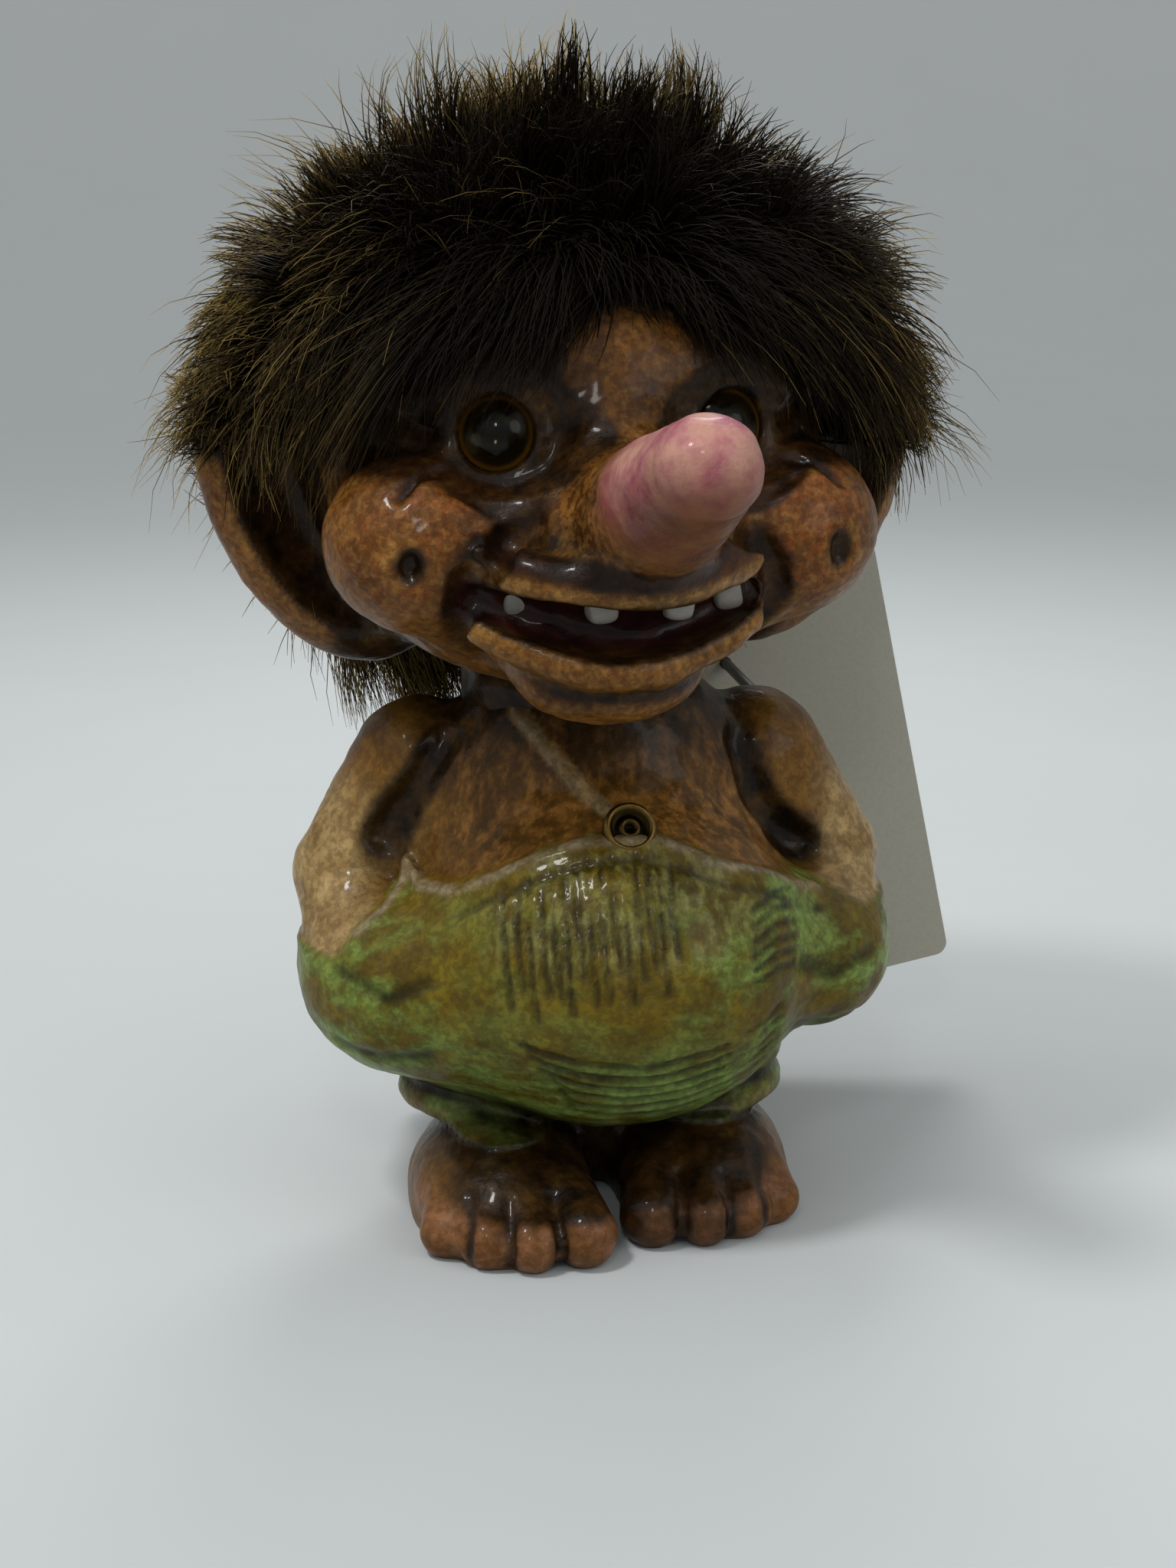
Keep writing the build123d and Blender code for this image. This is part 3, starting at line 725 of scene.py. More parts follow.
@dataclass(frozen=True)
class PaintedRubber:
    """Cast natural rubber, painted by hand and varnished.

    The eye sees thin uneven coats over an ochre ground, a dark wash that stays in every fold and
    also carries painted shade, and small sharp highlights of the varnish on a skin that isn't quite smooth.
    """

    name: str
    ground: tuple[str, str]
    coats: tuple[Coat, ...]
    roughness: tuple[float, float] = (0.26, 0.46)
    mottle: float = 5.0
    speck: float = 0.9
    grain: float = 0.45
    grain_depth: float = 0.35
    ior: float = 1.5
    sheen: float = 0.08
    varnish: float = 0.14
    varnish_roughness: float = 0.1

    def material(self) -> bpy.types.Material:
        """Builds the finish.

        Returns:
            Its material.
        """
        made, tree, shader = blank_material(self.name)
        place = add_node(tree, "ShaderNodeTexCoord").outputs["Object"]
        cloud = add_node(
            tree,
            "ShaderNodeTexNoise",
            {"Vector": place, "Scale": per_metre(self.mottle), "Detail": 6.0, "Roughness": 0.62},
        ).outputs["Fac"]
        tone = add_node(
            tree, "ShaderNodeMapRange", {"Value": cloud, "From Min": 0.32, "From Max": 0.68}
        ).outputs["Result"]
        colour = add_node(
            tree,
            "ShaderNodeMix",
            {0: tone, 6: linear(self.ground[1]), 7: linear(self.ground[0])},
            data_type="RGBA",
        ).outputs[2]
        for number, coat in enumerate(self.coats):
            colour = self.laid_on(tree, place, colour, coat, number)
        smoothest, roughest = self.roughness
        gloss = add_node(
            tree,
            "ShaderNodeMapRange",
            {"Value": cloud, "From Min": 0.3, "From Max": 0.7, "To Min": smoothest, "To Max": roughest},
        ).outputs["Result"]
        grit = add_node(
            tree,
            "ShaderNodeTexNoise",
            {"Vector": place, "Scale": per_metre(self.speck), "Detail": 5.0, "Roughness": 0.6},
        ).outputs["Fac"]
        bump = add_node(
            tree,
            "ShaderNodeBump",
            {"Height": grit, "Strength": self.grain, "Distance": self.grain_depth * MM},
        ).outputs["Normal"]
        tree.links.new(colour, shader.inputs["Base Color"])
        tree.links.new(gloss, shader.inputs["Roughness"])
        tree.links.new(bump, shader.inputs["Normal"])
        shader.inputs["IOR"].default_value = self.ior
        shader.inputs["Specular IOR Level"].default_value = self.sheen
        shader.inputs["Coat Weight"].default_value = self.varnish
        shader.inputs["Coat Roughness"].default_value = self.varnish_roughness
        return made

    @staticmethod
    def laid_on(
        tree: bpy.types.NodeTree,
        place: bpy.types.NodeSocket,
        under: bpy.types.NodeSocket,
        coat: Coat,
        number: int,
    ) -> bpy.types.NodeSocket:
        """Lays one coat over the colour below it, with ragged edges.

        Args:
            tree: the material's nodes.
            place: the coordinates that the patches follow.
            under: the colour below.
            coat: the coat to lay on.
            number: the coat's place in the order, which moves its patches.

        Returns:
            The colour with the coat on it.
        """
        moved = add_node(
            tree,
            "ShaderNodeMapping",
            {"Vector": place, "Location": (0.013 * number, 0.007 * number, 0.011), "Scale": coat.stretch},
        ).outputs["Vector"]
        patches = add_node(
            tree,
            "ShaderNodeTexNoise",
            {"Vector": moved, "Scale": per_metre(coat.patch), "Detail": 5.0, "Roughness": 0.6},
        ).outputs["Fac"]
        soft = 0.16 / coat.crisp
        tone = add_node(
            tree, "ShaderNodeMapRange", {"Value": patches, "From Min": 0.5 - soft, "From Max": 0.5 + soft}
        ).outputs["Result"]
        mixed = add_node(
            tree,
            "ShaderNodeMix",
            {0: tone, 6: linear(coat.dark), 7: linear(coat.light)},
            data_type="RGBA",
        ).outputs[2]
        mask = add_node(tree, "ShaderNodeAttribute", attribute_name=coat.mask).outputs["Fac"]
        edge = add_node(
            tree, "ShaderNodeMath", {0: tone, 1: coat.ragged, 2: 1.0 - coat.ragged}, operation="MULTIPLY_ADD"
        ).outputs["Value"]
        cover = add_node(tree, "ShaderNodeMath", {0: mask, 1: edge}, operation="MULTIPLY").outputs["Value"]
        held = add_node(
            tree, "ShaderNodeMath", {0: cover, 1: coat.cover}, operation="MULTIPLY", use_clamp=True
        ).outputs["Value"]
        return add_node(tree, "ShaderNodeMix", {0: held, 6: under, 7: mixed}, data_type="RGBA").outputs[2]


@dataclass(frozen=True)
class DyedFur:
    """Dyed sheepskin pile.

    The eye sees near-black roots that fade to golden brown tips, with painted backlight: the tips are
    painted lighter where light would come through the hair from behind. It has hardly any shine.
    """

    name: str = "dyed_sheepskin_pile"
    root: str = "060504"
    middle: str = "0f0a05"
    tip: str = "4c3a1b"
    # The lightest tip colour, painted light coming through the hair
    backlit_tip: str = "c4a75e"
    # How strongly the painted backlight lightens the tips
    backlight_gain: float = 2.2
    roughness: float = 0.5
    ior: float = 1.55
    sheen: float = 0.05

    def material(self) -> bpy.types.Material:
        """Builds the finish.

        Returns:
            Its material.
        """
        made, tree, shader = blank_material(self.name)
        height = add_node(tree, "ShaderNodeAttribute", attribute_name="tip").outputs["Fac"]
        shade = add_node(tree, "ShaderNodeAttribute", attribute_name="shade").outputs["Fac"]
        # Painted backlight: the tips are lightened towards the backlit tip colour by each hair's shade
        ends = add_node(
            tree,
            "ShaderNodeMix",
            {0: shade, 6: linear(self.tip), 7: linear(self.backlit_tip)},
            data_type="RGBA",
        ).outputs[2]
        lower = add_node(
            tree,
            "ShaderNodeMapRange",
            {"Value": height, "From Min": 0.0, "From Max": 0.5},
        ).outputs["Result"]
        upper = add_node(
            tree,
            "ShaderNodeMapRange",
            {"Value": height, "From Min": 0.5, "From Max": 1.0},
        ).outputs["Result"]
        bright = add_node(
            tree, "ShaderNodeMath", {0: shade, 1: self.backlight_gain}, operation="MULTIPLY", use_clamp=True
        ).outputs["Value"]
        glow = add_node(tree, "ShaderNodeMath", {0: upper, 1: bright}, operation="MULTIPLY").outputs["Value"]
        dark = add_node(
            tree,
            "ShaderNodeMix",
            {0: lower, 6: linear(self.root), 7: linear(self.middle)},
            data_type="RGBA",
        ).outputs[2]
        colour = add_node(tree, "ShaderNodeMix", {0: glow, 6: dark, 7: ends}, data_type="RGBA").outputs[2]
        tree.links.new(colour, shader.inputs["Base Color"])
        shader.inputs["Roughness"].default_value = self.roughness
        shader.inputs["IOR"].default_value = self.ior
        shader.inputs["Specular IOR Level"].default_value = self.sheen
        return made


@dataclass(frozen=True)
class PlainFinish:
    """A small part's finish: two tones of one material in fine patches, with its own gloss.

    A mask, where the mesh has one, is stained with a third tone.
    """

    name: str
    light: str
    dark: str
    patch: float
    roughness: float
    metallic: float = 0.0
    bump: float = 0.15
    bump_depth: float = 0.1
    transmission: float = 0.0
    ior: float = 1.5
    coat: float = 0.0
    mask: str = ""
    stain: str = "1a120a"

    def material(self) -> bpy.types.Material:
        """Builds the finish.

        Returns:
            Its material.
        """
        made, tree, shader = blank_material(self.name)
        place = add_node(tree, "ShaderNodeTexCoord").outputs["Object"]
        patches = add_node(
            tree,
            "ShaderNodeTexNoise",
            {"Vector": place, "Scale": per_metre(self.patch), "Detail": 4.0, "Roughness": 0.6},
        ).outputs["Fac"]
        colour = add_node(
            tree,
            "ShaderNodeMix",
            {0: patches, 6: linear(self.dark), 7: linear(self.light)},
            data_type="RGBA",
        ).outputs[2]
        if self.mask:
            held = add_node(tree, "ShaderNodeAttribute", attribute_name=self.mask).outputs["Fac"]
            colour = add_node(
                tree, "ShaderNodeMix", {0: held, 6: colour, 7: linear(self.stain)}, data_type="RGBA"
            ).outputs[2]
        tree.links.new(colour, shader.inputs["Base Color"])
        if self.bump:
            relief = add_node(
                tree,
                "ShaderNodeBump",
                {"Height": patches, "Strength": self.bump, "Distance": self.bump_depth * MM},
            ).outputs["Normal"]
            tree.links.new(relief, shader.inputs["Normal"])
        shader.inputs["Roughness"].default_value = self.roughness
        shader.inputs["Metallic"].default_value = self.metallic
        shader.inputs["Transmission Weight"].default_value = self.transmission
        shader.inputs["Coat Weight"].default_value = self.coat
        if not self.metallic:
            shader.inputs["IOR"].default_value = self.ior
        return made


# Cast rubber in ochre flesh paint, with a brown-black wash that also carries painted shade
FLESH = PaintedRubber(
    name="painted_rubber_flesh",
    ground=("7c4f1d", "4a280a"),
    coats=(
        Coat("blush", "763a10", "3e1b06", 2.6, 0.8, 0.5),
        Coat("pink", "b28474", "964a62", 4.0, 1.0, 0.0, 1.3),
        Coat("fleck", "96703a", "7a5222", 0.8, 0.45, 1.0, 1.2),
        Coat("raised", "ab8546", "7e5824", 1.5, 0.75, 0.6),
        Coat("lip", "54301a", "26140a", 1.6, 1.0, 0.2),
        Coat("speckle", "2e1808", "221005", 0.8, 0.75, 1.0, 3.0),
        # The brown-black wash, which also carries the painted shade
        Coat("wash_and_shade", "0f0905", "060402", 3.2, 1.0, 0.25),
        Coat("mouth", "2a110b", "170806", 2.0, 1.0, 0.0),
    ),
)
# The same cast rubber with the trousers brushed on in greens over a brown ground
DRESSED = PaintedRubber(
    name="painted_rubber_trousers",
    ground=("7e5a24", "4e300e"),
    coats=(
        Coat("tan", "ae9464", "8a7046", 3.0, 0.9, 0.3),
        Coat("hide", "8a5e2a", "241406", 1.5, 0.8, 0.5, 1.8, (1.0, 1.0, 0.28)),
        Coat("toe", "86593a", "633c20", 2.4, 0.85, 0.3),
        Coat("cloth", "6c590f", "483b08", 4.0, 1.0, 0.1),
        Coat("green", "70853d", "4c5b20", 6.0, 1.0, 0.95, 1.9, (0.8, 1.0, 1.5)),
        Coat("streak", "807e46", "3a310a", 1.6, 0.55, 0.7, 2.0, (1.0, 1.0, 0.18)),
        Coat("sweep", "6a7f3c", "2e2c0a", 1.7, 0.6, 0.7, 2.0, (0.22, 0.5, 1.2)),
        Coat("seam", "8d8068", "625538", 1.6, 0.9, 0.3),
        Coat("raised", "9c8050", "6e5628", 1.5, 0.5, 0.6),
        Coat("speckle", "2c1e08", "201404", 0.8, 0.7, 1.0, 3.0),
        # The brown-black wash, which also carries the painted shade
        Coat("wash_and_shade", "0f0904", "060402", 3.2, 1.0, 0.3),
    ),
)
FUR = DyedFur()
# Cast glass, faintly amber: a clear drop with a small highlight. Its IOR is below that of glass, so
# that the dome stays dark and doesn't mirror the room
LENS_GLASS = PlainFinish(
    "clear_amber_glass",
    "c8bc90",
    "b4a878",
    3.0,
    0.0,
    bump=0.0,
    transmission=1.0,
    ior=1.17,
    coat=0.12,
)
# Enamel brushed under the glass: a dark olive disc with a dull amber rim. The glass has the gloss
IRIS_PAINT = PlainFinish(
    "olive_eye_enamel", "2c2712", "16130a", 0.8, 0.5, ior=1.05, mask="rim", stain="8e7030"
)
# Moulded acetal under the same glass: an even black dot
PUPIL_BLACK = PlainFinish("black_acetal", "0a0a0a", "050505", 1.0, 0.4, ior=1.05)
# Thick chalky paint, dabbed on: greyish white with a soft shine, brown at the gum from wash and painted shade
TOOTH_PAINT = PlainFinish(
    "chalky_tooth_paint", "938e86", "6e685e", 0.9, 0.38, bump=0.3, mask="wash_and_shade", stain="20150c"
)
# Stamped brass, darkened with age: a warm glint on the rim and black in the dish
BUTTON_BRASS = PlainFinish(
    "aged_brass", "7d6534", "463519", 0.7, 0.34, metallic=1.0, mask="wash_and_shade", stain="0d0a06"
)
# Drawn steel with a black oxide: dark, with a satin highlight
PIN_STEEL = PlainFinish("blackened_steel", "3a3a38", "2a2a28", 0.6, 0.34, metallic=1.0, bump=0.05)
# Felt soaked in glue: a matt near-black that closes the gaps between the hairs. Its fibres are drawn
# coarser than they are, to show
BACKING_CLOTH = PlainFinish("black_glued_felt", "15100b", "080604", 0.4, 0.9, bump=0.8)
# Uncoated board, rolled: an even grey-white with a faint tooth, drawn coarser than it is, to show
TAG_BOARD = PlainFinish("grey_white_board", "a5a294", "979486", 0.5, 0.72, bump=0.25)
# A roll of matt background paper: even and pale, with painted light making it paler where it sweeps up
FLOOR_PAPER = PlainFinish(
    "pale_grey_paper", "b2b6b6", "aeb2b2", 40.0, 0.9, bump=0.0, mask="rise", stain="e6e6e0"
)


# The castings and the pieces set into them


@dataclass(frozen=True)
class Packed:
    """Where the figure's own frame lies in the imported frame."""

    shift: Vector

    @classmethod
    def from_pin(cls, side: float = 19.9, root: float = 1.0) -> Packed:
        """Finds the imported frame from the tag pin, whose place in the figure's frame is known."""
        low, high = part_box("tag_pin")
        return cls(Vector(((low.x + high.x) / 2.0 / MM - side, low.y / MM - root, 0.0)))

    def matrix(self) -> Matrix:
        """From millimetres in the figure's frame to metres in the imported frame."""
        return Matrix.Scale(MM, 4) @ Matrix.Translation(self.shift)

    def piece(
        self,
        name: str,
        mesh: bpy.types.Mesh,
        material: bpy.types.Material,
        stands_for: tuple[str, ...] = (),
        body: str = "figure",
        local: Matrix | None = None,
    ) -> bpy.types.Object:
        """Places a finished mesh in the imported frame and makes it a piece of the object.

        Args:
            name: the piece's name.
            mesh: the mesh, in millimetres.
            material: its finish.
            stands_for: the CAD nodes that it replaces.
            body: the CAD body it rides on.
            local: from the mesh's own frame to the figure's frame, if they differ.

        Returns:
            The new object.
        """
        mesh.transform(self.matrix() @ (local or Matrix.Identity(4)))
        mesh.name = name
        dress(mesh, material)
        mesh.shade_smooth()
        made = bpy.data.objects.new(name, mesh)
        bpy.context.scene.collection.objects.link(made)
        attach(made, body)
        if stands_for:
            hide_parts(*stands_for)
        LOG.info("%s: %d faces", name, len(mesh.polygons))
        return made


def mirrored(points: list[Spot] | tuple[Spot, ...], side: int) -> list[Spot]:
    """The spots on that side of the face, given for the left one."""
    return [(side * x, z) for x, z in points]


@dataclass
class Head:
    """The head casting with its features and glass eyes, modelled about the neck joint."""

    place: Matrix = field(
        default_factory=lambda: Matrix.Translation((-3.6, 1.0, 55.0))
        @ Matrix.Rotation(math.radians(HEAD_TURN), 4, "Z")
    )
    voxel: float = 0.42
    skull: Egg = Egg((0.0, -2.0, 25.0), (26.0, 21.5, 20.5))
    face: Egg = Egg((0.0, -9.0, 14.8), (22.5, 20.0, 14.6))
    muzzle: Egg = Egg((-0.9, -21.0, 11.6), (15.5, 12.5, 8.8))
    chin: Egg = Egg((-1.8, -26.0, 4.6), (8.8, 6.4, 4.8))
    neck: Roll = Roll(((0.0, 0.0, -3.0), (0.0, 0.0, 14.0)), (9.4, 9.4))
    brow: Egg = Egg((0.0, -15.0, 31.5), (18.5, 7.5, 5.5))
    brow_lobe: Egg = Egg((11.5, -19.6, 30.6), (6.4, 3.0, 2.6), 12.0)
    cheek: Egg = Egg((16.8, -18.5, 15.9), (9.6, 9.4, 8.5))
    ear: Egg = Egg((26.0, 1.0, 16.5), (9.8, 6.0, 16.5), 28.0)
    right_ear_spread: float = 23.6
    ear_wall: float = 2.2
    ear_ridge: tuple[Point, ...] = ((3.6, -0.4, 8.5), (1.6, 0.2, 2.0), (-0.4, 0.6, -3.5))
    nose_root: Point = (0.0, -25.5, 16.6)
    nose_tip: Point = (0.0, -48.84, 25.56)
    nose_shares: tuple[float, ...] = (0.0, 0.3, 0.62, 1.0)
    nose_radii: tuple[float, ...] = (7.0, 6.5, 5.7, 4.6)
    nose_saddle: Egg = Egg((0.0, -25.0, 18.6), (10.5, 5.6, 3.8))
    nose_bridge: Roll = Roll(((0.0, -20.5, 28.0), (0.0, -25.0, 20.5)), (3.2, 4.6))
    nose_wing: Egg = Egg((4.6, -28.6, 15.4), (3.0, 3.6, 2.6))
    mouth_steps: int = 13
    mouth_half_width: float = 12.4
    mouth_shift: float = -1.7
    mouth_corner: float = 11.7
    mouth_middle: float = 9.4
    mouth_gap: float = 5.0
    upper_lip: float = 4.0
    upper_lip_reach: float = 0.92
    upper_lip_radius: float = 2.1
    lower_lip: float = 3.7
    lower_lip_radius: float = 1.75
    chin_line: tuple[Spot, ...] = ((-8.7, 3.9), (-1.7, 3.1), (5.3, 3.9))
    smile: tuple[Spot, ...] = (
        (9.6, 18.4), (11.4, 17.2), (13.6, 15.6), (15.3, 13.4), (15.8, 10.6), (14.8, 7.6), (12.4, 5.2),
    )
    eye_bag: tuple[Spot, ...] = ((6.0, 21.6), (9.0, 20.0), (12.5, 19.6), (16.0, 21.4))
    crows_feet: tuple[tuple[Spot, Spot], ...] = (
        ((16.6, 25.8), (20.4, 27.6)), ((16.8, 24.4), (21.2, 24.2)), ((16.6, 22.8), (20.6, 20.8)),
    )
    eye_spread: float = 11.0
    eye_lift: float = 25.9
    eye_radius: float = 3.4
    eye_outward: float = 16.0
    eye_upward: float = 6.0
    eye_sink: float = 1.2
    eye_hole: float = 3.42
    socket: Point = (6.6, 3.4, 5.2)
    lid_gap: float = 0.75
    dimple: Point = (0.8, 1.8, 1.2)
    dimple_shift: Spot = (3.3, -0.9)
    disc_thickness: float = 0.8
    disc_hole: float = 1.85
    pupil_radius: float = 1.84
    pupil_steps: int = 40
    lens_land: float = 0.4
    lens_dome: float = 2.0
    lens_steps: int = 56

    def gaze(self, side: int) -> Vector:
        """The way one eye looks."""
        turn, rise = math.radians(side * self.eye_outward), math.radians(self.eye_upward)
        return Vector((math.sin(turn) * math.cos(rise), -math.cos(turn) * math.cos(rise), math.sin(rise)))

    def eye_seat(self, side: int) -> Vector:
        """Finds the seat under one eye's disc, sunk into the skull's front.

        Args:
            side: -1 for the right eye, 1 for the left one.

        Returns:
            The middle of the seat.
        """
        across = self.eye_spread / self.skull.radii[0]
        front = self.skull.center[1] - self.skull.radii[1] * math.sqrt(1.0 - across**2)
        return Vector((side * self.eye_spread, front, self.eye_lift)) - self.eye_sink * self.gaze(side)

    def grin(self, share: float, middle: float = 0.0, end: float = 0.0) -> Spot:
        """A spot on the grin's curve.

        Args:
            share: -1 at the right corner, 1 at the left one.
            middle: how far above the curve the spot is in the middle.
            end: how far above it is at the corners.

        Returns:
            The spot's x and z.
        """
        curve = self.mouth_middle + (self.mouth_corner - self.mouth_middle) * share**2
        lift = curve + middle + (end - middle) * share**2
        return share * self.mouth_half_width + self.mouth_shift, lift

    def lip_line(self, clay: Clay, middle: float = 0.0, end: float = 0.0, reach: float = 1.0) -> list[Point]:
        """Finds the skin along a curve of the grin.

        Args:
            clay: the sculpt so far.
            middle: how far above the grin the curve is in the middle.
            end: how far above it is at its ends.
            reach: its width as a share of the grin's.

        Returns:
            Points of the skin, from right to left.
        """
        shares = reach * np.linspace(-1.0, 1.0, self.mouth_steps)
        return clay.on_skin([self.grin(share, middle, end) for share in shares])

    def masses(self) -> Clay:
        """Joins the head's big forms, before any feature is worked in.

        Returns:
            The sculpt so far.
        """
        clay = Clay()
        for side in (-1, 1):
            self.add_ear(clay, side)
        clay.add(self.skull)
        clay.add(self.face, 5.0)
        clay.add(self.neck, 3.0)
        clay.add(self.brow, 5.0)
        for side in (-1, 1):
            clay.add(self.cheek.on_side(side), 3.0)
            clay.add(self.brow_lobe.on_side(side), 2.5)
        clay.add(self.muzzle, 3.5)
        clay.add(self.chin, 2.2)
        return clay

    def clay(self) -> Clay:
        """Models the whole head.

        Returns:
            The finished sculpt.
        """
        clay = self.masses()
        self.carve_mouth(clay)
        self.add_nose(clay)
        for side in (-1, 1):
            self.set_eye(clay, side)
            self.fold_face(clay, side)
        return clay

    def carve_mouth(self, clay: Clay) -> None:
        """Rolls the lips and cuts the grin between them.

        Args:
            clay: the sculpt so far.
        """
        shares = np.linspace(-1.0, 1.0, self.mouth_steps)
        line = self.lip_line(clay)
        upper = self.lip_line(clay, self.upper_lip, 4.0, self.upper_lip_reach)
        lower = self.lip_line(clay, -self.lower_lip, -2.4)
        proud = tuple((x, y - 1.0, z) for x, y, z in upper)
        clay.add(Roll(proud, (self.upper_lip_radius,) * len(shares)), 0.9)
        clay.add(Roll(tuple(lower), tuple(self.lower_lip_radius - 0.2 * share**2 for share in shares)), 1.2)
        opening = tuple(1.25 + (0.5 * self.mouth_gap - 1.25) * (1.0 - share**2) for share in shares)
        for inward in (-2.2, -0.6, 0.8, 1.9):
            clay.cut(Roll(tuple((x, y + inward, z) for x, y, z in line), opening), 0.6)
        above = self.lip_line(clay, self.upper_lip + 2.7, 6.8, 0.72)
        clay.cut(Roll(tuple(above), tuple(0.8 - 0.4 * share**2 for share in shares)), 1.2)
        clay.stroke(clay.on_skin(list(self.chin_line)), 1.1, 0.4)

    def add_nose(self, clay: Clay) -> None:
        """Adds the long nose with its bridge and wings.

        Args:
            clay: the sculpt so far.
        """
        root, tip = Vector(self.nose_root), Vector(self.nose_tip)
        points = tuple(tuple(root.lerp(tip, share)) for share in self.nose_shares)
        clay.add(Roll(points, self.nose_radii), 3.5)
        clay.add(self.nose_saddle, 3.0)
        clay.add(self.nose_bridge, 3.5)
        for side in (-1, 1):
            clay.add(self.nose_wing.on_side(side), 2.0)

    def add_ear(self, clay: Clay, side: int) -> None:
        """Adds one cupped ear with the ridge inside its rim.

        Args:
            clay: the sculpt so far.
            side: -1 for the right ear, 1 for the left one.
        """
        spread = self.ear.center[0] if side > 0 else self.right_ear_spread
        x, y, z = side * spread, self.ear.center[1], self.ear.center[2]
        lean = side * self.ear.lean
        clay.add(Egg((x, y, z), self.ear.radii, lean), 1.6)
        cup = tuple(radius - self.ear_wall for radius in self.ear.radii)
        clay.cut(Egg((x, y - 4.6, z + self.ear_wall / 2), cup, lean), 1.2)
        ridge = tuple((x + side * across, y + back, z + up) for across, back, up in self.ear_ridge)
        clay.add(Roll(ridge, (0.9, 1.3, 1.0)), 1.6)

    def set_eye(self, clay: Clay, side: int) -> None:
        """Sinks one socket, opens it for the glass eye and lays the lids round it.

        Args:
            clay: the sculpt so far.
            side: -1 for the right eye, 1 for the left one.
        """
        seat, gaze = self.eye_seat(side), self.gaze(side)
        rim = seat + 0.9 * gaze
        clay.cut(Egg(tuple(seat + 4.2 * gaze), self.socket), 2.0)
        level = Vector((0.0, 0.0, 1.0)).cross(gaze).normalized()
        rise = gaze.cross(level)
        ring = self.eye_radius + self.lid_gap
        angles = np.linspace(0.0, math.tau, 17)
        lid = tuple(tuple(rim + ring * (math.cos(a) * level + 0.96 * math.sin(a) * rise)) for a in angles)
        clay.add(Roll(lid, tuple(0.7 + 0.3 * max(0.0, math.sin(a)) for a in angles)), 1.2)
        hole = tuple(tuple(seat + depth * gaze) for depth in (1.6, 9.0))
        clay.cut(Roll(hole, (self.eye_hole, self.eye_hole)), 0.25)

    def fold_face(self, clay: Clay, side: int) -> None:
        """Works in one side's laugh lines, eye bag, crow's feet and dimple.

        Args:
            clay: the sculpt so far.
            side: -1 for the right side, 1 for the left one.
        """
        shift = max(0, side) * self.mouth_shift
        crease = clay.on_skin([(x + shift, z) for x, z in mirrored(self.smile, side)])
        clay.cut(Roll(tuple(crease), (0.7, 1.0, 1.1, 1.1, 1.0, 0.8, 0.5)), 1.2)
        clay.stroke(crease, 1.3, 0.9)
        clay.stroke(clay.on_skin(mirrored(self.eye_bag, side)), 0.8, 0.4)
        for foot in self.crows_feet:
            clay.stroke(clay.on_skin(mirrored(foot, side)), 0.6, 0.5)
        across, up = self.dimple_shift
        x, z = side * (self.cheek.center[0] + across), self.cheek.center[2] + up
        clay.cut(Egg(clay.on_skin([(x, z)])[0], self.dimple), 1.6)

    def washed_and_shaded(self, clay: Clay, mesh: bpy.types.Mesh) -> Array:
        """Lays the dark wash and painted shade: in folds and hollows the wash also stands in for shade,
        and painted shade lies round the eyes, under the hair, on the neck and behind the ears.

        Args:
            clay: the head's sculpt.
            mesh: its mesh.

        Returns:
            How much wash and painted shade lies on each vertex.
        """
        spots = positions(mesh)
        x, y, z = spots.T
        sides = np.abs(x - 0.8)
        hollows = [form.distance(spots) for form in clay.hollowed()]
        cups = [form.distance(spots) for form in clay.hollowed() if isinstance(form, Egg) and form.lean]
        # Wash in folds and recesses, measured like ambient occlusion: partly the real wash, partly painted
        # shade
        wash_and_shade = 1.5 * clay.recess(mesh, (0.7, 1.8, 4.0)) ** 0.85 - 0.08 + 0.7 * clay.carved(spots)
        # Darker in every scooped hollow and in the ear cups, partly painted shade
        wash_and_shade += 0.8 * step_down(0.0, 1.0, np.min(hollows, axis=0))
        wash_and_shade += step_down(0.0, 0.9, np.min(cups, axis=0))
        # Painted shade: black beside and above the eyes, where the hair's shadow falls
        wash_and_shade += 1.5 * step_up(21.2, 23.4, z) * step_up(5.4, 8.4, sides)
        # Painted shade in the eye sockets
        round_eye = np.hypot((sides - 9.6) / 8.0, (z - 24.6) / 6.2)
        wash_and_shade += 1.6 * step_down(0.78, 1.08, round_eye) * step_up(-30.0, -26.5, y)
        # Painted shade on the neck, under the jaw
        wash_and_shade += 1.2 * step_down(0.5, 3.0, z) * step_down(11.0, 13.0, np.hypot(x, y))
        # Painted shade under the wig
        wash_and_shade += 0.45 * step_up(24.0, 30.0, z) + 0.9 * step_up(35.0, 39.0, z)
        # Painted shade on the back of the head, behind the ears
        wash_and_shade += 0.9 * step_up(-14.0, -6.0, y) * step_down(22.0, 24.0, np.abs(x))
        # Less of the wash and painted shade on the bridge of the nose
        bridge = np.linalg.norm(spots - np.array((0.0, -26.0, 19.0)), axis=1)
        bridge_spared = 0.7 * step_down(7.0, 10.0, bridge) * step_up(17.0, 18.4, z) * step_down(20.5, 23.0, z)
        return wash_and_shade * (1.0 - bridge_spared)

    def lip_masks(self, clay: Clay, spots: Array) -> tuple[Array, Array]:
        """Finds the upper lip.

        Args:
            clay: the head's sculpt.
            spots: the vertices of its mesh.

        Returns:
            Where the lip is, and where it is above its own ridge.
        """
        line = self.lip_line(clay, self.upper_lip, 4.0, self.upper_lip_reach)
        share = (spots[:, 0] - self.mouth_shift) / self.mouth_half_width
        level = self.mouth_middle + (self.mouth_corner - self.mouth_middle) * share**2
        top = step_up(-0.8, 0.5, spots[:, 2] - level - self.upper_lip)
        return step_down(1.9, 3.0, from_path(spots, line)), top

